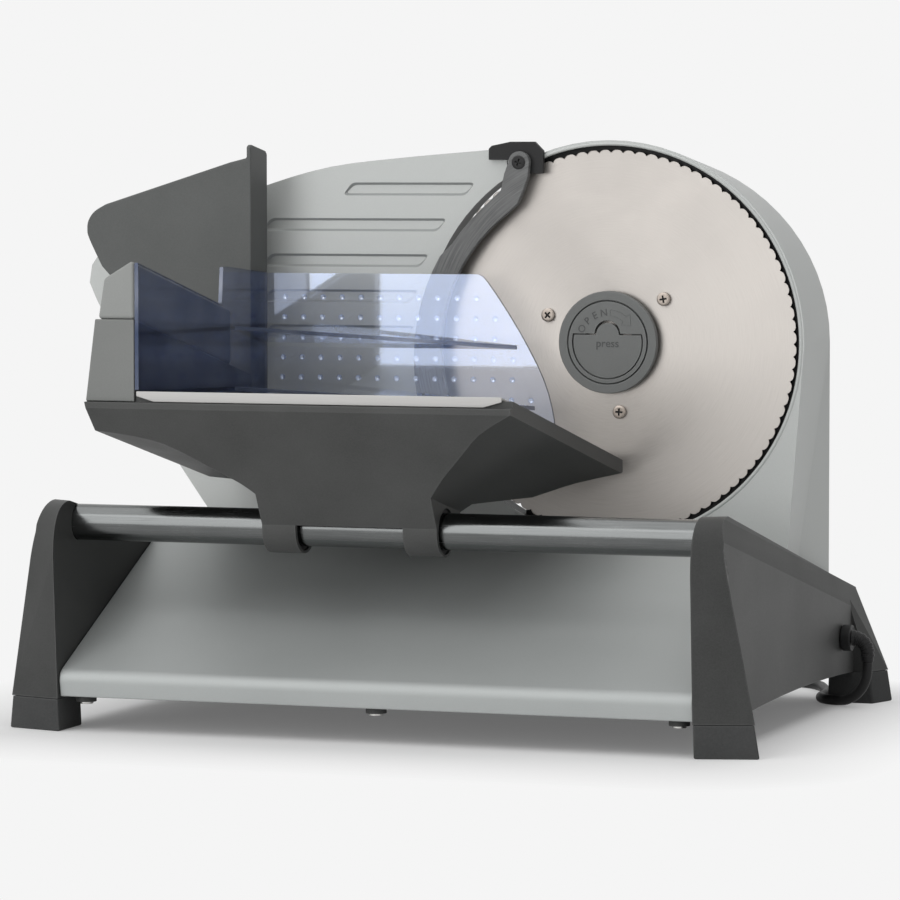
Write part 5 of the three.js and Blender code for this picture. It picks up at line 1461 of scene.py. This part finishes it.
@dataclass
class Base:
    """End caps, feet, deck, base plate with its screws, and the rail. Sizes in millimetres."""

    builder: Builder
    screws: Screws
    rail_sides: int = 72
    rail_rim: float = 1.0
    panel: float = 171.9
    panel_edge: float = 40.0
    screw_turn: float = 0.4

    def rail(self) -> Piece:
        """The polished rail with turned ends.

        Returns:
            The rail.
        """
        low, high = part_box("guide_rail")
        rail = primitive(
            "polished_rail",
            bpy.ops.mesh.primitive_cylinder_add,
            vertices=self.rail_sides,
            radius=(high.z - low.z) / 2,
            depth=high.x - low.x,
            location=(low + high) / 2,
            rotation=LAID_X,
        )
        with editing(rail) as mesh:
            pick(mesh, Part.FACE, lambda face: abs(face.normal.x) > FACING)
            bpy.ops.mesh.inset(thickness=self.rail_rim * MM, use_individual=True)
        return self.builder.seat(Round(0.6, 2).soften(rail), "chrome", "frame", "guide_rail")

    def build(self) -> None:
        """Rounds and dresses the base."""

        def at_seam(edge: bmesh.types.BMEdge) -> bool:
            """Edges where a cap and its foot meet."""
            return all(abs(point.co.z - seam) < 0.6 * MM for point in edge.verts)

        def at_panel(edge: bmesh.types.BMEdge) -> bool:
            """The long edge between a cap's side panel and the band above it.

            Args:
                edge: An edge of the rounded cap.

            Returns:
                Whether it shows as a line.
            """
            reach = [abs(point.co.x - ORIGIN.x) for point in edge.verts]
            beside = all(abs(x - self.panel * MM) < 0.4 * MM for x in reach)
            return beside and edge.calc_length() > self.panel_edge * MM

        def on_band(polygon: bpy.types.MeshPolygon) -> bool:
            """The sloping band between a cap's crest and its side panel, which gets painted shade."""
            normal = polygon.normal
            return abs(normal.x) > 0.85 and normal.z > 0.1 and abs(normal.y) < 0.2

        for side in ("right", "left"):
            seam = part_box(f"front_{side}_foot")[1].z
            cap = self.builder.rounded(f"{side}_end_cap", Round(2.4, 4, 22, at_seam, crease=at_panel))
            # Painted shade: the band takes a darker copy of the cap plastic, standing in for the shade that
            # the band shows under the light
            self.builder.second(cap, "cap_band", on_band)
            for end in ("front", "rear"):
                self.builder.rounded(f"{end}_{side}_foot", Round(1.0, 3, 30, at_seam))
        self.builder.rounded("front_deck", Round(0.7))
        self.builder.rounded("base_plate", Round(0.4, 2))
        self.rail()
        for index in (1, 2, 3):
            node = f"base_screw_{index}"
            seat = middle(node)
            seat.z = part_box(node)[0].z + self.screws.head_height * MM
            head = self.screws.put(f"{node}_head", seat, Vector((0, 0, -1)), self.screw_turn * index)
            self.screws.darken(self.builder.seat(head, "steel", "frame", node))


# Blade


@dataclass
class Blade:
    """Serrated blade, its screws, and the hub with its lock. Sizes in millimetres.

    The turns of the word and of the arrow are in degrees, and those of the screws in radians.
    """

    builder: Builder
    screws: Screws
    teeth: int = 96
    phases: tuple[float, ...] = (0.0, 0.55, 0.9, 1.0, 1.0, 1.0, 0.9, 0.55)
    tooth: float = 1.4
    grind: float = 3.4
    edge_deep: float = 1.5
    edge_thick: float = 0.5
    middle_share: float = 0.18
    screw_rise: float = 0.5
    screw_scale: float = 0.98
    screw_turns: Span = (0.5, 0.9)
    word_turns: tuple[int, ...] = (153, 134, 116, 97)
    word_radius: float = 14.6
    word_size: float = 5.0
    press_size: float = 5.6
    press_drop: float = 0.6
    # Half the raised letters' thickness and how far they sit into the disc, in millimetres; their darker
    # finish is painted shade, not ink
    ink: float = 0.12
    ink_sunk: float = 0.06
    arrow_radius: float = 14.8
    arrow_wide: float = 3.0
    arrow_line: float = 0.5
    arrow_rise: float = 0.2
    arrow_sunk: float = 0.1
    arrow_turns: tuple[int, ...] = (84, 52, 50, 34)
    arrow_step: int = 4

    def disc(self) -> Piece:
        """The toothed disc with a ground edge.

        Returns:
            The disc.
        """
        axis, low, radius = middle("blade"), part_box("blade")[0], half_width("blade")
        count = self.teeth * len(self.phases)
        centre = (axis.x, low.y + self.edge_deep * MM, axis.z)
        face = (axis.x, low.y, axis.z)
        disc = primitive(
            "serrated_blade",
            bpy.ops.mesh.primitive_circle_add,
            vertices=count,
            radius=radius,
            location=centre,
            rotation=LAID_Y,
        )

        def phase_of(point: bmesh.types.BMVert) -> int:
            """Which step of its tooth a point is."""
            turn = math.atan2(point.co.z - axis.z, point.co.x - axis.x) / (2 * math.pi) * count
            return round(turn) % len(self.phases)

        with editing(disc) as mesh:
            for phase, share in enumerate(self.phases):
                pick(mesh, Part.VERT, lambda point, phase=phase: phase_of(point) == phase)
                factor = (radius - self.tooth * MM * (1 - share)) / radius
                bpy.ops.transform.resize(value=(factor, 1, factor), center_override=centre)
            bpy.ops.mesh.select_all(action="SELECT")
            bpy.ops.mesh.extrude_edges_move(TRANSFORM_OT_translate={"value": (0, self.edge_thick * MM, 0)})
            bpy.ops.mesh.edge_face_add()
            pick(mesh, Part.VERT, lambda point: point.co.y < low.y + self.edge_deep * MM + NEAR)
            bpy.ops.mesh.select_mode(type="EDGE")
            inner = (radius - self.grind * MM) / radius
            for step, share in ((-self.edge_deep * MM, inner), (0, self.middle_share)):
                bpy.ops.mesh.extrude_edges_move(TRANSFORM_OT_translate={"value": (0, step, 0)})
                bpy.ops.transform.resize(value=(share, 1, share), center_override=face)
            bpy.ops.mesh.edge_face_add()
            face_outwards()
        return self.builder.seat(smooth_by(disc, 20), "blade_steel", "blade", "blade")

    def words(self, text: str, size: float, at: Vector, turn: float = 0.0) -> Piece:
        """Low raised letters that face the front.

        Args:
            text: The letters.
            size: Their height in millimetres.
            at: The middle of their foot, on the surface that carries them.
            turn: Their turn about the blade's axis in radians.

        Returns:
            The letters as a mesh.
        """
        piece = letters(text, size, self.ink, f"letters_{text.lower()}_{round(math.degrees(turn))}")
        upright = Matrix.Rotation(math.pi / 2, 4, "X")
        piece.data.transform(Matrix.Translation(at) @ Matrix.Rotation(turn, 4, "Y") @ upright)
        return piece

    def arrow(self, front: float) -> Piece:
        """The raised outline of a curved arrow on the lock disc.

        Args:
            front: The depth of its foot in the shared frame.

        Returns:
            The arrow.
        """
        radius, half, wing = self.arrow_radius, self.arrow_wide / 2, self.arrow_wide * 1.2
        tail, neck, barb, tip = self.arrow_turns
        shaft = range(tail, neck - 1, -self.arrow_step)
        outline = [(radius - half, turn) for turn in shaft]
        outline += [(radius - wing, barb), (radius, tip), (radius + wing, barb)]
        outline += [(radius + half, turn) for turn in reversed(shaft)]
        arrow = primitive("lock_arrow", bpy.ops.mesh.primitive_plane_add, size=1.0, location=CENTRE)
        with editing(arrow) as mesh:
            bpy.ops.mesh.select_all(action="SELECT")
            bpy.ops.mesh.delete(type="VERT")
            points = [mesh.verts.new(round_blade(reach * MM, turn, front)) for reach, turn in outline]
            mesh.faces.new(points)
            bpy.ops.mesh.select_mode(type="FACE")
            bpy.ops.mesh.select_all(action="SELECT")
            bpy.ops.mesh.inset(thickness=self.arrow_line * MM)
            bpy.ops.mesh.delete(type="FACE")
            bpy.ops.mesh.select_all(action="SELECT")
            bpy.ops.mesh.extrude_region_move(TRANSFORM_OT_translate={"value": (0, -self.arrow_rise * MM, 0)})
            face_outwards()
        return arrow

    def hub(self) -> None:
        """The hub ring, the lock disc with its word and arrow, and the press tab."""
        self.builder.rounded("hub_ring", Round(0.5))
        self.builder.rounded("lock_disc", Round(0.25, 2))
        self.builder.rounded("lock_tab", Round(0.3, 2))
        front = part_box("lock_disc")[0].y - self.ink_sunk * MM
        made = []
        for letter, degrees in zip("OPEN", self.word_turns):
            spot = round_blade(self.word_radius * MM, degrees, front)
            made.append(self.words(letter, self.word_size, spot, math.radians(90 - degrees)))
        word = join_all("lock_word", made + [self.arrow(front + self.arrow_sunk * MM)])
        # Painted shade: the raised word and arrow take a darker copy of the hub plastic
        self.builder.seat(word, "hub_grey", "hub_lock", finish="hub_letter_shade")
        spot = middle("blade")
        spot.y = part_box("lock_tab")[0].y - self.ink_sunk * MM
        spot.z -= self.press_drop * MM
        press = self.words("press", self.press_size, spot)
        press.name = "press_word"
        # Painted shade: the raised word takes a darker copy of the hub plastic
        self.builder.seat(press, "hub_grey", "lock_tab", finish="hub_letter_shade")

    def build(self) -> None:
        """Makes the blade and everything on it."""
        self.disc()
        self.hub()
        for index in (1, 2, 3):
            node = f"blade_screw_{index}"
            seat = middle(node)
            seat.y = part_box(node)[0].y + self.screw_rise * MM
            spin = self.screw_turns[0] + self.screw_turns[1] * index
            head = self.screws.put(f"{node}_head", seat, Vector((0, -1, 0)), spin, self.screw_scale)
            self.builder.seat(head, "steel", "blade", node, finish="screw_steel")
            self.screws.darken(head)
        self.builder.keep("blade_carrier", "spindle", "worm_wheel")


# Housing, drive and guide


@dataclass
class Housing:
    """Blade housing, rear cover, button, drive, thickness guide and its dial. Sizes in millimetres."""

    builder: Builder
    numbers: int = 8
    number_size: float = 5.5
    number_raised: float = 0.15
    number_away: float = 5.0
    number_lift: float = 0.1
    dial_swing: float = 330.0
    pocket_play: float = 3.0
    pocket_deep: float = 6.0
    # Shares of the pocket's radius that bound its upper left: above the first and left of the second, the
    # pocket keeps the housing's silver instead of the black painted shade
    pocket_lit: Span = (0.75, 0.35)
    bead_radius: float = 0.9
    bead_flat: float = 0.6
    bead_end: Spot = (4.0, 0.0, 12.0)
    rib_count: int = 5
    rib_top: float = 260.2
    rib_pitch: float = 18.0
    rib_half: float = 3.0
    rib_deep: float = 1.4
    rib_corner: float = 2.2
    rib_slope: float = 1.2
    rib_least: float = 180.0
    post_play: float = 0.3

    def pocket_reach(self) -> float:
        """The radius of the pocket that the blade runs in, in metres."""
        return half_width("blade") + self.pocket_play * MM

    def dial_numbers(self) -> Piece:
        """Raised numbers round the rear face of the support cover, beside the dial.

        Returns:
            The numbers as one piece.
        """
        centre = middle("thickness_dial")
        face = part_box("support_cover")[1].y + self.number_lift * MM
        reach = half_width("thickness_dial") + self.number_away * MM
        flip = Matrix.Rotation(math.pi, 4, "Z") @ Matrix.Rotation(math.pi / 2, 4, "X")
        made = []
        for index in range(self.numbers):
            mark = letters(str(index), self.number_size, self.number_raised, f"dial_number_{index}")
            turn = math.radians(90 - index * self.dial_swing / self.numbers)
            spot = Vector((centre.x - reach * math.cos(turn), face, centre.z + reach * math.sin(turn)))
            mark.data.transform(Matrix.Translation(spot) @ flip)
            made.append(mark)
        return self.builder.seat(join_all("dial_numbers", made), "wall_grey", "frame")

    def bead(self) -> Piece:
        """The rounded bead on the housing's front, round the blade.

        Returns:
            The bead.
        """
        axis, corner = middle("blade"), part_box("blade_housing")[0]
        centre = (axis.x, corner.y, axis.z)
        bead = primitive(
            "pocket_bead",
            bpy.ops.mesh.primitive_torus_add,
            major_segments=180,
            minor_segments=14,
            major_radius=self.pocket_reach(),
            minor_radius=self.bead_radius * MM,
            location=centre,
            rotation=LAID_Y,
        )
        foot = corner + Vector(self.bead_end) * MM
        with editing(bead):
            for across in ((1, 0, 0), (0, 0, 1)):
                bpy.ops.mesh.select_all(action="SELECT")
                bpy.ops.mesh.bisect(plane_co=foot, plane_no=across, clear_inner=True, use_fill=True)
            bpy.ops.mesh.select_all(action="SELECT")
            bpy.ops.transform.resize(value=(1, self.bead_flat, 1), center_override=centre)
        return self.builder.seat(smooth_by(bead, 40), "silver", "frame")

    def ribs(self, plate: Piece) -> None:
        """Rounds the corners of the guide's ribs and slopes their walls.

        Args:
            plate: The guide plate's copy.
        """
        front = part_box("guide_plate")[0].y
        deep = self.rib_deep * MM

        def at_corner(edge: bmesh.types.BMEdge) -> bool:
            """The short edges that run into the plate at a rib's corners."""
            ends = sorted(point.co.y for point in edge.verts)
            return abs(ends[0] - front) < NEAR and abs(ends[1] - front - deep) < NEAR

        with editing(plate) as mesh:
            pick(mesh, Part.EDGE, at_corner)
            bpy.ops.mesh.bevel(offset=self.rib_corner * MM, segments=4, affect="EDGES")
        with editing(plate) as mesh:
            for index in range(self.rib_count):
                height = ORIGIN.z + (self.rib_top - index * self.rib_pitch) * MM

                def on_floor(face: bmesh.types.BMFace, height: float = height) -> bool:
                    """The floor of one rib.

                    Args:
                        face: A face of the plate.
                        height: The rib's height in the shared frame.

                    Returns:
                        Whether it lies on that rib's floor.
                    """
                    spot = face.calc_center_median()
                    level = abs(spot.y - front - deep) < NEAR and face.normal.y < -FACING
                    return level and abs(spot.z - height) < self.rib_half * MM

                pick(mesh, Part.FACE, on_floor)
                points = [point.co for point in mesh.verts if point.select]
                low = Vector([min(axis) for axis in zip(*points)])
                high = Vector([max(axis) for axis in zip(*points)])
                size = high - low
                shrink = [1 - 2 * self.rib_slope * MM / length for length in (size.x, size.z)]
                bpy.ops.transform.resize(value=(shrink[0], 1, shrink[1]), center_override=(low + high) / 2)

    def shorten(self, post: Piece) -> None:
        """Keeps the guide post's rear end clear of the cover when the guide is pushed right back.

        Args:
            post: The guide post's copy.
        """
        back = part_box("guide_post")[1].y
        with editing(post) as mesh:
            pick(mesh, Part.VERT, lambda point: point.co.y > back - NEAR)
            bpy.ops.transform.translate(value=(0, -self.post_play * MM, 0))

    def line_guide(self, plate: Piece) -> None:
        """Paints shade on the walls of the ribs with a darker silver, and paints shade on the guide's curved
        edge behind the arm with the arm's dark grey.

        Args:
            plate: The dressed guide plate.
        """
        axis, front, reach = middle("blade"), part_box("guide_plate")[0].y, self.pocket_reach()
        least = ORIGIN.z + self.rib_least * MM

        def on_rib(polygon: bpy.types.MeshPolygon) -> bool:
            """The sloping walls round each rib, which get painted shade.

            Args:
                polygon: A face of the plate.

            Returns:
                Whether it is part of such a wall.
            """
            spot = polygon.center
            shallow = front + 0.05 * MM < spot.y < front + (self.rib_deep - 0.05) * MM
            return shallow and -0.97 < polygon.normal.y < -0.2 and spot.z > least

        def at_blade(polygon: bpy.types.MeshPolygon) -> bool:
            """The curved edge beside the blade, which gets painted shade."""
            out = polygon.center - axis
            return math.hypot(out.x, out.z) < reach and polygon.normal.y > -0.97

        # Painted shade: the rib walls take a darker silver so that each rib shows as a dark outline
        self.builder.second(plate, "silver_shade", on_rib)
        # Painted shade: the guide's curved edge takes the arm's dark grey so that it reads as the dark gap
        # beside the arm
        self.builder.second(plate, "arm_grey", at_blade)

    def pocket(self, housing: Piece) -> None:
        """Paints shade into the pocket that the blade runs in: its wall and floor turn black, apart from the
        upper left.

        Args:
            housing: The dressed housing.
        """
        axis, front, reach = middle("blade"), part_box("blade_housing")[0].y, self.pocket_reach()
        above, before = self.pocket_lit

        def inside(polygon: bpy.types.MeshPolygon) -> bool:
            """Faces of the pocket's wall and floor, other than at the upper left.

            Args:
                polygon: A face of the housing.

            Returns:
                Whether it gets the black painted shade.
            """
            out = polygon.center - axis
            deep = front + 0.6 * MM < polygon.center.y < front + self.pocket_deep * MM
            upper = out.z > above * reach and out.x < before * reach
            return deep and math.hypot(out.x, out.z) < reach and polygon.normal.y < 0.3 and not upper

        # Painted shade: the pocket's wall and floor turn black, apart from the upper left
        self.builder.second(housing, "black", inside)

    def build(self) -> None:
        """Rounds and dresses the upper part of the frame and the guide."""
        keep, rounded = self.builder.keep, self.builder.rounded
        self.pocket(rounded("blade_housing", Round(0.9)))
        self.bead()
        rounded("rear_cover", Round(1.2))
        rounded("power_button", Round(1.2))
        self.line_guide(rounded("guide_plate", Round(0.5, 2, 14, smooth=30), self.ribs))
        rounded("guide_support", Round(1.0, 2))
        rounded("support_cover", Round(0.8, 2))
        rounded("thickness_dial", Round(0.6, 2))
        self.dial_numbers()
        keep("front_bush", "rear_bush", "worm", "motor_shaft", "motor", "motor_cradle", "shaft_block")
        rounded("guide_post", Round(0.5, 2), self.shorten)
        keep("guide_bush", "dial_screw")


@dataclass
class EdgeGuard:
    """The arm over the cutting edge, its bracket and its screw. Sizes in millimetres."""

    builder: Builder
    screws: Screws
    outer: float = 94.0
    outer_edge: float = 99.0
    widen: float = 2.2
    below_pivot: float = 12.0
    above_tip: float = 8.0
    screw_rise: float = 0.8
    screw_turn: float = 0.3

    def cover_gap(self, arm: Piece) -> None:
        """Widens the arm's outer edge over the gap beside the guide plate.

        Args:
            arm: The arm's copy.
        """
        axis = middle("blade")
        low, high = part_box("edge_guard")
        lowest, highest = low.z + self.above_tip * MM, high.z - self.below_pivot * MM

        def outside(point: bmesh.types.BMVert) -> bool:
            """Points of the outer curve, below the pivot and above the tip."""
            out = math.hypot(point.co.x - axis.x, point.co.z - axis.z)
            return out > self.outer * MM and lowest < point.co.z < highest

        with editing(arm) as mesh:
            pick(mesh, Part.VERT, outside)
            factor = 1 + self.widen / self.outer_edge
            bpy.ops.transform.resize(value=(factor, 1, factor), center_override=(axis.x, low.y, axis.z))

    def build(self) -> None:
        """Rounds and dresses the arm."""
        self.builder.rounded("edge_guard", Round(0.7), self.cover_gap)
        self.builder.rounded("guard_bracket", Round(0.8))
        seat = middle("guard_screw")
        seat.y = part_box("guard_screw")[0].y + self.screw_rise * MM
        head = self.screws.put("guard_screw_head", seat, Vector((0, -1, 0)), self.screw_turn)
        self.builder.seat(head, "black", "frame", "guard_screw")


# Carriage and pusher


@dataclass
class Carriage:
    """The sliding carriage with its tray plate, left wall and hand guard."""

    builder: Builder

    def build(self) -> None:
        """Rounds and dresses the carriage."""
        self.builder.rounded("carriage_body", Round(1.2, 3, 28))
        self.builder.rounded("tray_plate", Round(0.35, 2), finish="tray_steel")
        wall = self.builder.rounded("carriage_wall", Round(2.0, 4))
        # Painted shade: the wall's right-facing inner face takes the darker carriage plastic, standing in for
        # the shade on the side turned away from the key light
        self.builder.second(wall, "carriage_grey", lambda polygon: polygon.normal.x > 0.8)
        self.builder.rounded("hand_guard", Round(0.8))
        self.builder.keep("left_rail_bush", "right_rail_bush")


@dataclass
class Pusher:
    """The clear pusher with pimples on the side that faces the food, and its handle.

    Sizes are in the machine's own millimetres. The plate's right edge is straight up to bend_from, and
    then falls away to the left by bend_rate times the height above it to the power bend_power.
    """

    builder: Builder
    first: Span = (-99.6, 206.0)
    pitch: Span = (10.2, 10.1)
    lean: float = 0.4
    rows: int = 8
    columns: int = 14
    pimple: float = 1.5
    pimple_flat: float = 0.8
    pimple_sunk: float = 0.02
    sheet: float = 2.0
    right: float = 44.0
    bend_from: float = 141.0
    bend_rate: float = 0.0112
    bend_power: float = 1.88
    margin: float = 9.0

    def pimples(self) -> Piece:
        """One pimple, modelled from a ball and copied over the plate.

        Returns:
            The pimples as one piece.
        """
        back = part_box("food_pusher")[1].y - self.pimple_sunk * MM
        pattern = primitive(
            "pimple",
            bpy.ops.mesh.primitive_uv_sphere_add,
            segments=14,
            ring_count=8,
            radius=self.pimple * MM,
            location=CENTRE,
        )
        with editing(pattern):
            bpy.ops.mesh.select_all(action="SELECT")
            bpy.ops.mesh.bisect(plane_co=CENTRE, plane_no=(0, 1, 0), clear_inner=True)
            bpy.ops.mesh.select_all(action="SELECT")
            bpy.ops.transform.resize(value=(1, self.pimple_flat, 1))
        made = []
        for row in range(self.rows):
            z = self.first[1] - row * self.pitch[1]
            edge = self.right - self.bend_rate * max(z - self.bend_from, 0) ** self.bend_power
            for column in range(self.columns):
                x = self.first[0] + column * self.pitch[0] - self.lean * row
                if x > edge - self.margin:
                    continue
                copy = duplicate(pattern, f"pimple_{row}_{column}")
                spot = place(x, 0, z)
                copy.data.transform(Matrix.Translation((spot.x, back, spot.z)))
                made.append(copy)
        bpy.data.objects.remove(pattern)
        pimples = join_all("plate_pimples", made)
        choose(pimples)
        bpy.ops.object.shade_smooth()
        return self.builder.seat(pimples, "clear_blue", "pusher", finish="clear_pimple")

    def build(self) -> None:
        """Makes the pusher and its handle."""
        sheet = self.builder.rounded("food_pusher", Round(0.4, 2))
        low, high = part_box("food_pusher")
        wall, plate = low.x + 1.2 * self.sheet * MM, high.y - 1.2 * self.sheet * MM

        def on_rim(polygon: bpy.types.MeshPolygon) -> bool:
            """The narrow faces round the wall, the plate and the gussets, which get painted shade.

            Args:
                polygon: A face of the pusher.

            Returns:
                Whether it is a narrow one.
            """
            spot, normal = polygon.center, polygon.normal
            if spot.x < wall:
                return abs(normal.x) < 0.5
            if spot.y > plate:
                return abs(normal.y) < 0.5
            return abs(normal.z) < 0.6

        def on_wall(polygon: bpy.types.MeshPolygon) -> bool:
            """Both faces of the left wall, which get painted shade."""
            return polygon.center.x < wall and abs(polygon.normal.x) > 0.5

        # Painted shade: the narrow faces take a dark, nearly opaque tint for the dark look of the sheet's
        # edges seen edge-on
        self.builder.second(sheet, "clear_edge", on_rim)
        # Painted shade: both faces of the left wall take a darker, denser navy tint, standing in for the
        # shade inside the wall
        self.builder.second(sheet, "clear_shade", on_wall)
        self.builder.second(sheet, "clear_back", lambda polygon: polygon.normal.y > 0.5)
        self.pimples()
        self.builder.rounded("pusher_handle", Round(3.0, 4))


def main() -> None:
    """Builds the studio and every sub-assembly in order."""
    logging.basicConfig(level=logging.INFO, format="%(name)s: %(message)s")
    Studio().build()
    builder = Builder(Finishes())
    CordSet(builder).build()
    screws = Screws(builder)
    Base(builder, screws).build()
    Blade(builder, screws).build()
    Housing(builder).build()
    EdgeGuard(builder, screws).build()
    Carriage(builder).build()
    Pusher(builder).build()
    screws.clear()
    LOG.info("%d pieces", builder.count)


if __name__ == "__main__":
    main()
